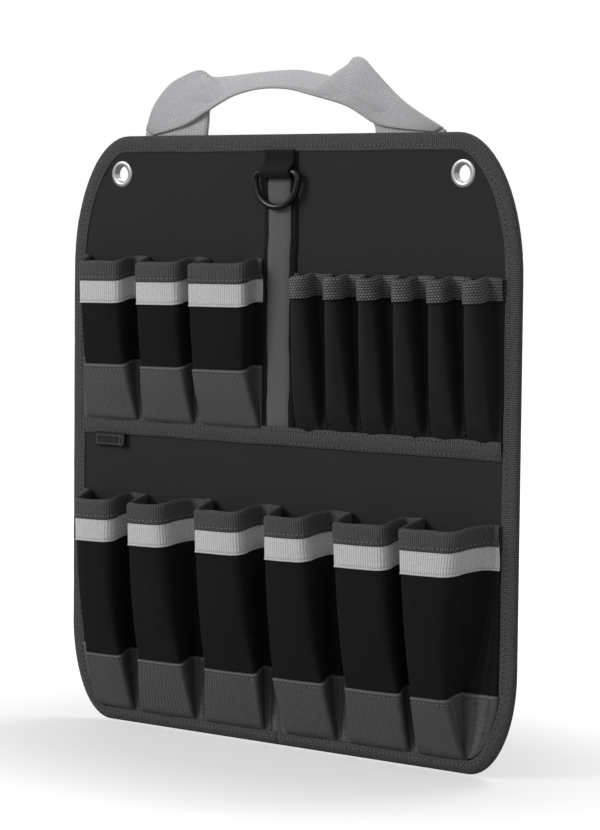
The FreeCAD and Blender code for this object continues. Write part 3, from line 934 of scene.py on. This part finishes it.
def make_pocket(pocket, row, number, patch_tall):
    """The cloth, patch, band and mouth tape of one pocket, with their stitches."""
    name = f"{row}_pocket_{number}_"
    heights = pocket.rows(1.0, 24) * (1 - 1.2 * MM / pocket.tall)
    body = pocket.body(name + "cloth", heights, "pocket")
    tape_foot = pocket.mouth - (MOUTH_TAPE_TALL + 1.0) * MM
    band_foot = pocket.mouth - (MOUTH_TAPE_TALL + BAND_TALL) * MM
    patch_top = pocket.foot + patch_tall * MM
    patch = pocket.panel(name + "patch", pocket.foot, patch_top, 0.85 * MM, 0.6 * MM, "patch",
                         "patch_cloth", 12, tuck=0.45 * MM)
    hem = pocket.panel(name + "patch_hem", patch_top - 1.6 * MM, patch_top + 0.1 * MM,
                       1.20 * MM, 0.4 * MM, "patch_hem", "patch_cloth", 3)
    band = pocket.panel(name + "band", band_foot, tape_foot + 2 * MM, 0.80 * MM, 0.5 * MM,
                        "band", "light_band", 7)
    selvedge = pocket.panel(name + "selvedge", band_foot - 0.1 * MM, band_foot + 0.9 * MM,
                            1.10 * MM, 0.4 * MM, "band_edge", "light_band", 2)
    tape = pocket.mouth_tape(name + "mouth_tape", MOUTH_TAPE_TALL, "binding", "binding_tape")
    for piece, part in ((patch, "patch"), (band, "light_band"), (tape, "mouth_tape")):
        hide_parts(f"{row}_{part}_{number}")
    pale = Threads()
    # dark stubs between the stitches: painted shade in the holes
    holes = Threads(thread=0.27 * MM)
    dark, seams, hidden = (Threads(stitch=SEAM_STITCH) for _ in range(3))
    pocket.sew(pale, tape_foot + 2.2 * MM, 1.42 * MM, holes)
    pocket.sew(dark, patch_top - 3.0 * MM, 1.20 * MM, holes)
    pocket.seams(seams, pocket.foot + 3 * MM, patch_top, 1.25 * MM)
    pocket.seams(hidden, patch_top, band_foot, 0.5 * MM)
    pale = pale.make(name + "tape_stitches", "pale_thread", "light_band")
    dark = dark.make(name + "patch_stitches", "grey_thread", "patch_cloth")
    holes = holes.make(name + "needle_hole_shade", "hole", "patch_cloth")
    seams = seams.make(name + "seam_stitches", "grey_thread", "patch_cloth")
    hidden = hidden.make(name + "upper_seam_stitches", "black_thread", "pocket_cloth")
    pocket.declare(body, [patch, hem, band, selvedge, tape, pale, dark, seams, hidden, holes])


LOWER = (
    # left insets, right insets, left base, right base: each at the foot, the knee and the mouth
    ((14, 17, 16), (4.5, 4, 3), (15, 10, 5), (6, 10.5, 9)),
    ((3, 12, 11), (7.5, 7, 15.5), (4.5, 6, 5), (9, 11, 10)),
    ((3, 13, 12), (6, 1.5, 8), (4.5, 6, 5), (7.5, 8.5, 9)),
    ((13, 13, 13), (4, 4, 12), (14, 7, 5), (5.5, 9.5, 9.5)),
    ((7.5, 14, 11), (4, 1.5, 6), (9, 7, 5), (5.5, 8, 9)),
    ((4.5, 8, 5), (22, 26, 14), (6, 5, 4), (24, 26, 4)),
)
UPPER = (
    ((5.5, 12, 12), (4, 5, 6), (7, 8, 4), (5.5, 8, 8)),
    ((3.5, 9, 9), (8, 8, 8), (5, 6, 4), (9.5, 9, 8)),
    ((1.5, -1, -3.5), (1, 4.5, -3), (3, 3, 3), (2.5, 8, 5)),
)
POCKET_ROWS = (
    # the row, its pockets' sides, the first one's seed, the patches' height, and the rest
    ("lower", LOWER, 1, 39.5, {"foot": 3.0, "depth": 27, "knee": 0.27,
                               "bends": (5.0, 9.0, 2.2, 7.5, 10.0, 6.0)}),
    ("upper", UPPER, 11, 38.5, {"foot": 2.8, "depth": 19, "knee": 0.36,
                                "bends": (4.0, 7.0, 2.2, 6.0, 7.0, 5.0)}),
)


class PANEL_OT_pockets(Operator):
    """Sews on the lower and upper rows of box-pleat pockets"""
    bl_idname = "tool_panel.pockets"
    bl_label = "Pockets"

    def execute(self, context):
        for row, table, seed, patch_tall, facts in POCKET_ROWS:
            for number, sides in enumerate(table, 1):
                pocket = Pocket(f"{row}_pocket_{number}", *sides, seed=seed + number - 1,
                                **facts)
                make_pocket(pocket, row, number, patch_tall)
        return {"FINISHED"}


class PANEL_OT_sleeves(Operator):
    """Sews on the row of narrow sleeves and their cuffs"""
    bl_idname = "tool_panel.sleeves"
    bl_label = "Sleeves"

    SHIFTS = (0.0, 0.6, -0.4, 0.5, 0.1, -0.5)  # how each sleeve differs from an even one
    CUFF_TALL = 12.2

    def execute(self, context):
        for number, shift in enumerate(self.SHIFTS, 1):
            name = f"sleeve_{number}"
            sleeve = Pocket(name, (3.0, 4.4 + shift, 5.0 + shift), (5.5, 6.0, 9.5 - shift),
                            (1.8, 1.6, 2.2), (3.2, 5.4, 10.5), foot=3.6, depth=12.5 + shift,
                            knee=0.5, bends=(1.2, 3.0, 3.0, 3.4, 3.0, 1.2), seed=number + 20,
                            droop=1.8, crease=0.6, belly=2.4, tuck=0.10)
            body = sleeve.body(name + "_cloth", np.linspace(0.0, 1.0, 26) * 0.985, "sleeve")
            cuff = sleeve.mouth_tape(name + "_cuff", self.CUFF_TALL, "cuff", "cuff_webbing",
                                     fullness=1.08)
            seams = Threads(stitch=2.0 * MM)
            sleeve.seams(seams, sleeve.foot + 3 * MM, sleeve.mouth - 3 * MM, 0.6 * MM)
            seams = seams.make(name + "_stitches", "black_thread", "pocket_cloth")
            sleeve.declare(body, [cuff, seams])
        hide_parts("sleeve_cuffs")
        return {"FINISHED"}


# Cross tape, label, centre webbing


def strip_spots(low, high):
    """Places from one edge of a strip to the other, with one more close to each edge."""
    close = 0.3 * MM / (high - low)
    count = max(3, int((high - low) / (4 * MM)))
    shares = np.unique(np.concatenate([[0, close], np.linspace(0, 1, count), [1 - close]]))
    return low + (high - low) * shares


def strip(name, low, high, material, y, thick, seed=0.0, wobble=0.3 * MM, lengthwise=False,
          edge=0.35 * MM, lift_top=0.0):
    """A flat tape or webbing between two corners (x, z), its long edges turned slightly down."""
    x, z = np.broadcast_arrays(strip_spots(low[0], high[0])[None, :],
                               strip_spots(low[1], high[1])[:, None])
    wander = tape_wobble(z if lengthwise else x, seed) * wobble
    turned = np.minimum.reduce([np.minimum(x - low[0], high[0] - x),
                                np.minimum(z - low[1], high[1] - z)])
    depth = y + edge * (1 - smooth_step(0.0, 0.35 * MM, turned))
    depth = depth + 0.4 * tape_wobble(x + z, seed + 3) * wobble
    depth = depth - lift_top * smooth_step(low[1], low[1] + 0.7 * (high[1] - low[1]), z)
    points = np.stack([x + (wander if lengthwise else 0), depth,
                       z + (0 if lengthwise else wander)], axis=2)
    uv = np.stack([z, x], axis=2) if lengthwise else np.stack([x, z], axis=2)
    piece = weave_piece(name, points, uv, material, thick=thick, side=-1.0)
    return piece


class PANEL_OT_cross_tape(Operator):
    """Sews the cross tape over the feet of the upper pockets, with its blank label"""
    bl_idname = "tool_panel.cross_tape"
    bl_label = "Cross tape and label"

    CUT = (0.0122, 0.319)  # the tape's width and length as it was cut

    def execute(self, context):
        low, high = TAPE_LOW, TAPE_HIGH
        tape = strip("cross_tape_cloth", (low.x, low.z), (high.x, high.z), "binding",
                     low.y - 0.25 * MM, 0.8 * MM, 1.0, lift_top=1.4 * MM)
        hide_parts("cross_tape")
        threads = Threads()
        # dark stubs between the stitches: painted shade in the holes
        holes = Threads(thread=0.3 * MM)
        for level, lift in ((low.z + 2.0 * MM, 0.42 * MM), (high.z - 2.0 * MM, 1.72 * MM)):
            x = np.linspace(low.x + 1 * MM, high.x - 1 * MM, 160)
            line = np.stack([x, np.full(160, low.y - lift),
                             level + tape_wobble(x, 1.0) * 0.3 * MM], axis=1)
            threads.row(line, OUT, holes)
        sewn = threads.make("cross_tape_stitches", "grey_thread", "binding_tape")
        dents = holes.make("cross_tape_needle_hole_shade", "hole", "binding_tape")
        self.label()
        return {"FINISHED"}

    def label(self):
        """A blank folded tag under the tape, hemmed all round, its right end curled."""
        first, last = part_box("label_tag")
        end = last.x + 6.0 * MM
        x = np.linspace(first.x, end, 34)
        z = np.linspace(first.z, last.z + 1 * MM, 9)
        across, up = np.meshgrid(x, z)
        curl = ((last.z - up) / (last.z - first.z)) ** 2 * 0.9 * MM
        curl = curl + smooth_step(end - 6.0 * MM, end - 1.0 * MM, across) * 1.6 * MM
        y = first.y + 0.35 * MM - curl + 0.15 * MM * np.sin(across * 400)
        points = np.stack([across, y, up], axis=2)
        label = weave_piece("label_tag_cloth", points, np.stack([across, up], axis=2), "label",
                            thick=0.7 * MM)
        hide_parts("label_tag")
        hem = Threads(thread=0.3 * MM, stitch=1.3 * MM, gap=0.2 * MM)
        for row in (points[1, 1:-2], points[-3, 1:-2], points[1:-2, 1], points[1:-2, -7],
                    points[1:-2, -2]):
            hem.row(row - np.array([0.0, 0.40 * MM, 0.0]), OUT)
        hem.make("label_tag_hem", "grey_thread", "label_cloth")


class PANEL_OT_centre_webbing(Operator):
    """Sews on the centre webbing with its stripe and the loop that carries the ring"""
    bl_idname = "tool_panel.centre_webbing"
    bl_label = "Centre webbing and ring loop"

    def execute(self, context):
        low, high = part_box("centre_webbing")
        strap = strip("centre_webbing_strap", (low.x, low.z), (high.x, high.z), "webbing",
                      low.y, 1.5 * MM, 3.0, 0.8 * MM, lengthwise=True)
        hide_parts("centre_webbing")
        first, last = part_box("centre_stripe")
        stripe = strip("centre_stripe_cloth", (first.x, first.z), (last.x, last.z), "stripe",
                       first.y, 0.6 * MM, 3.0, 0.8 * MM, lengthwise=True)
        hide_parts("centre_stripe")
        threads = Threads()
        for x in (low.x + 2.0 * MM, high.x - 2.0 * MM):
            z = np.linspace(low.z + 1 * MM, high.z - 1 * MM, 40)
            threads.row(np.stack([np.full(40, x), np.full(40, low.y), z], axis=1), OUT)
        threads.make("centre_webbing_stitches", "black_thread", "black_webbing")
        self.loop(low.y)
        return {"FINISHED"}

    def loop(self, face):
        """The folded loop round the ring's bar, and the bar of stitches that closes it."""
        low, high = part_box("ring_loop")
        bar = Vector((0.0, low.y + 3.6 * MM, low.z + 3.6 * MM))
        radius = 2.9 * MM
        angles = np.linspace(-0.60 * math.pi, 0.42 * math.pi, 20)
        side = [(bar.y + 1.6 * MM, bar.z - 2.3 * MM)]
        side += [(bar.y - radius * math.cos(a), bar.z + radius * math.sin(a)) for a in angles]
        side += [(bar.y + 1.9 * MM, bar.z + 4.9 * MM), (face - 0.95 * MM, bar.z + 7.5 * MM),
                 (face - 0.85 * MM, high.z - 2 * MM), (face - 0.85 * MM, high.z + 1 * MM)]
        x = np.linspace(low.x, high.x, 15)
        points = np.array([np.stack([x, np.full(15, y), np.full(15, z)], axis=1)
                           for y, z in side])
        along = run_length(points[:, 7])
        uv = np.stack(np.broadcast_arrays(along[:, None], x[None, :]), axis=2)
        piece = weave_piece("ring_loop_strap", points, uv, "webbing", thick=1.3 * MM)
        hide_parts("ring_loop")
        threads = Threads(stitch=1.6 * MM, gap=0.5 * MM)
        line = np.linspace(low.x + 1.5 * MM, high.x - 1.5 * MM, 20)
        for rise in (8.2, 9.4, 10.6, 11.8):
            level = np.full(20, bar.z + rise * MM)
            threads.row(np.stack([line, np.full(20, face - 1.55 * MM), level], axis=1), OUT)
        threads.make("ring_loop_stitches", "black_thread", "black_webbing")


# Fittings


def deselect():
    """Leaves nothing selected, and object mode."""
    if bpy.context.object and bpy.context.object.mode != "OBJECT":
        bpy.ops.object.mode_set(mode="OBJECT")
    bpy.ops.object.select_all(action="DESELECT")


def select_only(*pieces):
    """Selects some pieces, the first of them the active one."""
    deselect()
    for piece in pieces:
        piece.select_set(True)
    bpy.context.view_layer.objects.active = pieces[0]


def apply_modifiers(piece):
    """Works a piece's modifiers into its mesh."""
    select_only(piece)
    for modifier in list(piece.modifiers):
        bpy.ops.object.modifier_apply(modifier=modifier.name)


def settle(piece, name, material, body="panel"):
    """Ends a modelled piece: its place in its mesh, its name, finish and body."""
    select_only(piece)
    bpy.ops.object.transform_apply(location=True, rotation=True, scale=True)
    bpy.ops.object.mode_set(mode="EDIT")
    bpy.ops.mesh.select_all(action="SELECT")
    bpy.ops.mesh.remove_doubles(threshold=1e-6)
    bpy.ops.mesh.normals_make_consistent(inside=False)
    bpy.ops.object.mode_set(mode="OBJECT")
    bpy.ops.object.shade_smooth_by_angle(angle=math.radians(50))
    piece.name = name
    piece.data.name = name
    piece.data.materials.clear()
    piece.data.materials.append(MATERIALS[material])
    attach(piece, body)
    return piece


EYELET_HOLE = 5.5 * MM


def pierce(piece):
    """Cuts the eyelets' holes through a cover."""
    apply_modifiers(piece)
    for node in ("eyelet_left", "eyelet_right"):
        low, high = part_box(node)
        middle = (low + high) / 2
        deselect()
        bpy.ops.mesh.primitive_cylinder_add(vertices=40, radius=EYELET_HOLE, depth=20 * MM,
                                            location=middle, rotation=(math.pi / 2, 0, 0))
        punch = bpy.context.object
        cut = piece.modifiers.new("hole", "BOOLEAN")
        cut.operation = "DIFFERENCE"
        cut.solver = "EXACT"
        cut.object = punch
        apply_modifiers(piece)
        bpy.data.objects.remove(punch, do_unlink=True)


class PANEL_OT_eyelets(Operator):
    """Sets a plated eyelet and its washer at each top corner"""
    bl_idname = "tool_panel.eyelets"
    bl_label = "Eyelets"

    def execute(self, context):
        for hand in ("left", "right"):
            low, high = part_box(f"eyelet_{hand}")
            middle = (low + high) / 2
            lip = self.ring(middle, low.y + 0.55 * MM, 6.75 * MM, 1.6 * MM, 0.34)
            throat = self.throat(middle, low.y + 0.5 * MM, BACK - 0.2 * MM)
            select_only(lip, throat)
            bpy.ops.object.join()
            settle(lip, f"eyelet_{hand}_set", "steel")
            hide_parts(f"eyelet_{hand}")
            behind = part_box(f"eyelet_washer_{hand}")[0].y + 0.25 * MM
            washer = self.ring(middle, behind, 7.1 * MM, 1.65 * MM, 0.30)
            settle(washer, f"eyelet_washer_{hand}_set", "steel")
            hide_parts(f"eyelet_washer_{hand}")
        return {"FINISHED"}

    def ring(self, middle, y, radius, lip, flatness):
        """A rolled lip: a torus pressed flat."""
        deselect()
        bpy.ops.mesh.primitive_torus_add(
            location=(middle.x, y, middle.z), rotation=(math.pi / 2, 0, 0), major_segments=56,
            minor_segments=16, major_radius=radius, minor_radius=lip)
        made = bpy.context.object
        bpy.ops.object.transform_apply(location=True, rotation=True, scale=True)
        bpy.ops.object.mode_set(mode="EDIT")
        bpy.ops.mesh.select_all(action="SELECT")
        bpy.ops.transform.resize(value=(1.0, flatness, 1.0),
                                 center_override=(middle.x, y, middle.z))
        bpy.ops.object.mode_set(mode="OBJECT")
        return made

    def throat(self, middle, front, back):
        """The tube through the panel."""
        deselect()
        bpy.ops.mesh.primitive_cylinder_add(
            vertices=56, radius=EYELET_HOLE - 0.15 * MM, depth=back - front, end_fill_type="NOTHING",
            location=(middle.x, (front + back) / 2, middle.z), rotation=(math.pi / 2, 0, 0))
        made = bpy.context.object
        wall = made.modifiers.new("wall", "SOLIDIFY")
        wall.thickness = 0.35 * MM
        wall.offset = 0.0
        apply_modifiers(made)
        return made


class PANEL_OT_ring(Operator):
    """Bends the D-ring's wire"""
    bl_idname = "tool_panel.ring"
    bl_label = "D-ring"

    def execute(self, context):
        low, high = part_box("d_ring")
        wire = (high.y - low.y) / 2
        y = (low.y + high.y) / 2
        bar = high.z - wire
        middle = (low.x + high.x) / 2
        half = (high.x - low.x) / 2 - wire
        bend = 4.5 * MM
        side = (high.z - low.z) - 2 * wire - bend - half
        deselect()
        bpy.ops.mesh.primitive_circle_add(vertices=20, radius=wire, fill_type="NOTHING",
                                          location=(middle - half + bend, y, bar),
                                          rotation=(0, math.pi / 2, 0))
        made = bpy.context.object
        bpy.ops.object.transform_apply(location=True, rotation=True, scale=True)
        bpy.ops.object.mode_set(mode="EDIT")
        bpy.ops.mesh.select_all(action="SELECT")
        self.run((2 * (half - bend), 0, 0))
        self.turn((middle + half - bend, y, bar - bend), math.pi / 2, 10)
        self.run((0, 0, -side))
        self.turn((middle, y, bar - bend - side), math.pi, 40)
        self.run((0, 0, side))
        self.turn((middle - half + bend, y, bar - bend), math.pi / 2, 10)
        settle(made, "d_ring_wire", "lacquer", "ring")
        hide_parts("d_ring")
        levels = [vertex.co.z for vertex in made.data.vertices]
        if max(abs(max(levels) - high.z), abs(min(levels) - low.z)) > 0.5 * MM:
            raise RuntimeError("the ring's wire was bent the wrong way")
        return {"FINISHED"}

    def run(self, step):
        """Carries the wire straight on by a step."""
        bpy.ops.mesh.extrude_region_move(TRANSFORM_OT_translate={"value": step})

    def turn(self, centre, angle, steps):
        """Bends the wire on round a centre."""
        bpy.ops.mesh.spin(steps=steps, angle=angle, center=centre, axis=(0, -1, 0))


# Carry handle

# Along the strap from its left root to its right: the fold, the strap's edge, the flap's edge.
HANDLE_LINE = (
    ((-114, 0.8, 1), (-64, 0.8, 1), (-110, -0.4, 0)),
    ((-107, 1.0, 18), (-63, 0.8, 9), (-95, -0.7, 2.8)),
    ((-96, 3, 31), (-62, 0, 15), (-79, -1.4, 6.5)),
    ((-85, 6, 37), (-57, -2, 18), (-63.5, -2.8, 13.5)),
    ((-76, 9, 39.5), (-49, -4.5, 20), (-50, -5.8, 19)),
    ((-68, 11, 35), (-36, -7, 24.5), (-37, -8.2, 23.5)),
    ((-52, 13, 35.5), (-20, -9.5, 27.5), (-21, -10.8, 26.5)),
    ((-29, 13, 37), (-6, -10.5, 28.5), (-7, -11.8, 27.5)),
    ((-4, 13, 37.5), (10, -11, 27.5), (9, -12.2, 26.5)),
    ((12, 13, 35), (24, -10.5, 24), (24, -11.6, 23)),
    ((29, 12, 32.5), (37, -8.5, 20.5), (37, -9.6, 19.5)),
    ((37, 10, 37), (45, -6.5, 17.5), (46, -7.6, 16.5)),
    ((42.5, 7.5, 43.5), (50, -4.5, 15), (52, -5.8, 13.5)),
    ((51, 5.5, 43), (55.5, -2.5, 12), (58, -3.8, 9.5)),
    ((62, 3, 34.5), (61, 0, 8), (66, -1.6, 5)),
    ((84, 1, 17.5), (63.5, 0.8, 4), (80, -0.8, 2.5)),
    ((114, 0.8, 1), (64, 0.8, 1), (110, -0.4, 0)),
)


class PANEL_OT_handle(Operator):
    """Folds the carry handle's webbing and sews its tails to the panel's back"""
    bl_idname = "tool_panel.handle"
    bl_label = "Carry handle"

    HINGE = 0.8 * MM  # how far back the strap turns on its roots

    def execute(self, context):
        size = context.scene.panel_handle
        count = 97  # places along the strap
        base = np.array([0.0, 0.0, TOP])
        fold, edge, free = (spline([p[k] for p in HANDLE_LINE], count) * MM + base
                            for k in range(3))
        path = np.gradient(0.5 * (fold + edge), axis=0)
        up = np.cross(path, fold - edge)
        up /= np.linalg.norm(up, axis=1)[:, None]
        share = np.linspace(0.0, 1.0, count)
        middle = np.sin(share * math.pi) ** 0.7
        puff = size.puff * np.sin(share * math.pi) ** 1.5
        back = []
        for k in np.linspace(0.0, 1.0, 13):
            arch = math.sin(k * math.pi) * 1.6 * MM * middle[:, None]
            back.append(edge + (fold - edge) * k + up * arch * 0.6)
        back = np.array(back).transpose(1, 0, 2)
        tails = self.tail(back[0], -1), self.tail(back[-1], 1)
        rows = np.concatenate([tails[0], back, tails[1]], axis=0)
        width = np.linspace(0.0, size.strap / 2 + 5 * MM, 13)
        strap = self.cloth_piece("handle_strap", rows, width)
        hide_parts("carry_handle", "handle_tail_left", "handle_tail_right")
        flap = []
        toward = (edge - fold) / np.linalg.norm(edge - fold, axis=1)[:, None]
        gap = size.strap * 0.024 * (0.55 + 0.45 * middle) + puff * 0.15
        reach = free - (fold + up * gap[:, None])
        for angle in np.linspace(-0.5 * math.pi, 0.5 * math.pi, 7)[:-1]:
            centre = fold + up * (gap * 0.5)[:, None]
            flap.append(centre - toward * (gap * 0.5 * math.cos(angle))[:, None]
                        + up * (gap * 0.5 * math.sin(angle))[:, None])
        for k in np.linspace(0.0, 1.0, 13):
            arch = math.sin(k * math.pi) * puff[:, None]
            flap.append(fold + up * gap[:, None] + reach * k + up * arch)
        flap = np.array(flap).transpose(1, 0, 2)
        width = np.concatenate([np.linspace(-2.5 * MM, 0, 7)[:-1],
                                np.linspace(0.0, size.strap / 2, 13)])
        flap = self.cloth_piece("handle_flap", flap[1:-1], width + 0.5)
        for piece in (strap, flap):
            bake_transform(piece)
        self.sew_tails()
        return {"FINISHED"}

    def tail(self, root, hand):
        """The strap carried straight down behind the panel from its root."""
        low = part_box("handle_tail_left")[0].z
        levels = np.linspace(low, TOP - 2.0 * MM, 8)
        x = np.linspace(-64, -114, 13) * MM * -hand
        rows = np.array([np.stack([x, np.full(13, 0.95 * MM), np.full(13, z)], axis=1)
                         for z in levels])
        return rows if hand < 0 else rows[::-1]

    def cloth_piece(self, name, rows, width):
        """A run of webbing, its ribs kept along it."""
        points = np.array(rows).transpose(1, 0, 2)
        along = run_length(points[len(points) // 2])
        piece = weave_piece(name, points, spread(along, width), "handle", body=None,
                            thick=1.1 * MM)
        apply_modifiers(piece)
        return piece

    def sew_tails(self):
        """A sewn box with a cross in it on each tail."""
        threads = Threads(stitch=2.6 * MM)
        for node in ("handle_tail_left", "handle_tail_right"):
            low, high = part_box(node)
            left, right = low.x + 4 * MM, high.x - 4 * MM
            foot, top = low.z + 3.5 * MM, high.z - 8 * MM
            y = high.y + 0.15 * MM
            ends = [(left, foot), (right, foot), (right, top), (left, top)]
            lines = [(ends[k], ends[(k + 1) % 4]) for k in range(4)]
            lines += [(ends[0], ends[2]), (ends[1], ends[3])]
            for start, end in lines:
                x = np.linspace(start[0], end[0], 30)
                z = np.linspace(start[1], end[1], 30)
                threads.row(np.stack([x, np.full(30, y), z], axis=1), -OUT)
        threads.make("handle_tail_stitches", "handle_thread", "handle_webbing")


# Studio


class PANEL_OT_stage(Operator):
    """Sets up the floor and backdrop, the lamps and the camera"""
    bl_idname = "tool_panel.stage"
    bl_label = "Studio"

    LAMP_AIM = Vector((0.0, 0.0, -0.15))
    CAMERA_AIM = Vector((0.0139, -0.0048, -0.1457))
    PAPER_GREY = 0.36
    FLOOR_SIZE = 40.0

    def execute(self, context):
        studio = context.scene.panel_studio
        self.floor()
        self.lamp("key lamp", (-2.2, -3.6, 1.9), 1.8, studio.key)
        self.lamp("top lamp", (0.5, 1.5, 2.2), 1.2, studio.rim)
        self.surround(studio.fill)
        self.camera(context, studio)
        context.scene.view_settings.view_transform = "Standard"
        return {"FINISHED"}

    def floor(self):
        """A wide sheet of white paper under the panel."""
        deselect()
        bpy.ops.mesh.primitive_plane_add(size=self.FLOOR_SIZE,
                                         location=(0, 0, BOTTOM - 1.5 * MM))
        floor = bpy.context.object
        floor.name = "studio_floor"
        floor.data.materials.append(self.paper())

    def paper(self):
        """White paper that looks white to the camera and keeps the panel's shadow, with a painted
        shadow pool round the panel's foot, where its glow for the camera is dimmer.
        """
        shader = Shader("studio paper", 0.9)
        shader.surface.inputs["Base Color"].default_value = rgba([self.PAPER_GREY] * 3)
        shader.surface.inputs["Emission Color"].default_value = (1.0, 1.0, 1.0, 1.0)
        shader.surface.inputs["Emission Strength"].default_value = 1.0
        path = shader.tree.nodes.new("ShaderNodeLightPath")
        seen = Value(shader, path.outputs["Is Camera Ray"])
        # Painted shadow: the glow that only the camera sees is dimmer in an ellipse round the
        # panel's foot, a painted pool of shade, and full white further out.
        painted_pool_ellipse = shader.node("ShaderNodeVectorMath", {"operation": "MULTIPLY"},
                           {0: shader.place(), 1: (1.0, 1.6, 1.0)})
        away = shader.node("ShaderNodeVectorMath", {"operation": "LENGTH"}, {0: painted_pool_ellipse},
                           output="Value")
        far = shader.node("ShaderNodeMapRange", {"interpolation_type": "SMOOTHSTEP"},
                          {"Value": away, "From Min": 0.10, "From Max": 0.50,
                           "To Min": 0.49, "To Max": 0.95})
        shader.join("Emission Color", seen * far)
        return shader.material

    def lamp(self, name, place, size, power):
        """A square lamp that looks at the panel."""
        data = bpy.data.lights.new(name, "AREA")
        data.energy = power
        data.size = size
        lamp = bpy.data.objects.new(name, data)
        bpy.context.scene.collection.objects.link(lamp)
        lamp.location = place
        aim = self.LAMP_AIM - Vector(place)
        lamp.rotation_euler = aim.to_track_quat("-Z", "Y").to_euler()

    def surround(self, level):
        """White all round for the camera and for what shines, and dimmer for the rest."""
        world = bpy.data.worlds.new("surround")
        bpy.context.scene.world = world
        world.use_nodes = True
        tree = world.node_tree
        tree.nodes.clear()
        output = tree.nodes.new("ShaderNodeOutputWorld")
        background = tree.nodes.new("ShaderNodeBackground")
        background.inputs["Color"].default_value = (1.0, 1.0, 1.0, 1.0)
        path = tree.nodes.new("ShaderNodeLightPath")
        seen = tree.nodes.new("ShaderNodeMath")
        seen.operation = "MAXIMUM"
        tree.links.new(path.outputs["Is Camera Ray"], seen.inputs[0])
        tree.links.new(path.outputs["Is Glossy Ray"], seen.inputs[1])
        strength = tree.nodes.new("ShaderNodeMath")
        strength.operation = "MULTIPLY_ADD"
        strength.inputs[1].default_value = 1.0 - level
        strength.inputs[2].default_value = level
        tree.links.new(seen.outputs[0], strength.inputs[0])
        tree.links.new(strength.outputs[0], background.inputs["Strength"])
        tree.links.new(background.outputs[0], output.inputs["Surface"])

    def camera(self, context, studio):
        """The camera, turned about its line of sight and aimed at the panel's middle."""
        azimuth, elevation, roll = studio.azimuth, studio.elevation, studio.roll
        forward = Vector((-math.sin(azimuth) * math.cos(elevation),
                          math.cos(azimuth) * math.cos(elevation), -math.sin(elevation)))
        level = Vector((math.cos(azimuth), math.sin(azimuth), 0.0))
        over = level.cross(forward)
        right = level * math.cos(roll) + over * math.sin(roll)
        top = over * math.cos(roll) - level * math.sin(roll)
        data = bpy.data.cameras.new("camera")
        data.lens = studio.lens
        data.sensor_width = 36.0
        camera = bpy.data.objects.new("camera", data)
        context.scene.collection.objects.link(camera)
        turn = Matrix((right, top, -forward)).transposed().to_4x4()
        place = self.CAMERA_AIM - forward * studio.distance
        camera.matrix_world = Matrix.Translation(place) @ turn
        context.scene.camera = camera


# Add-on

OPERATORS = (
    PANEL_OT_stage,
    PANEL_OT_covers,
    PANEL_OT_binding,
    PANEL_OT_cross_tape,
    PANEL_OT_centre_webbing,
    PANEL_OT_pockets,
    PANEL_OT_sleeves,
    PANEL_OT_eyelets,
    PANEL_OT_ring,
    PANEL_OT_handle,
)


class PANEL_PT_sidebar(Panel):
    """Lists the panel's pieces and their sizes and colours"""
    bl_idname = "PANEL_PT_sidebar"
    bl_label = "Hanging tool panel"
    bl_space_type = "VIEW_3D"
    bl_region_type = "UI"
    bl_category = "Tool Panel"

    def draw(self, context):
        """A button for each operator, and a box for each group of settings."""
        for operator in OPERATORS:
            self.layout.operator(operator.bl_idname)
        for name, group in GROUPS.items():
            box = self.layout.box()
            box.label(text=name.replace("_", " ").capitalize())
            for setting in group.__annotations__:
                box.prop(getattr(context.scene, name), setting)


def register():
    """Makes the settings, the operators and the sidebar known to Blender."""
    for group in GROUPS.values():
        bpy.utils.register_class(group)
    for operator in OPERATORS:
        bpy.utils.register_class(operator)
    bpy.utils.register_class(PANEL_PT_sidebar)
    for name, group in GROUPS.items():
        setattr(bpy.types.Scene, name, PointerProperty(type=group))


def unregister():
    """Takes them away again."""
    for name in GROUPS:
        delattr(bpy.types.Scene, name)
    bpy.utils.unregister_class(PANEL_PT_sidebar)
    for operator in reversed(OPERATORS):
        bpy.utils.unregister_class(operator)
    for group in reversed(GROUPS.values()):
        bpy.utils.unregister_class(group)


def main():
    """Makes every piece."""
    register()
    make_materials()
    for operator in OPERATORS:
        group, name = operator.bl_idname.split(".")
        getattr(getattr(bpy.ops, group), name)()


if __name__ == "__main__":
    main()
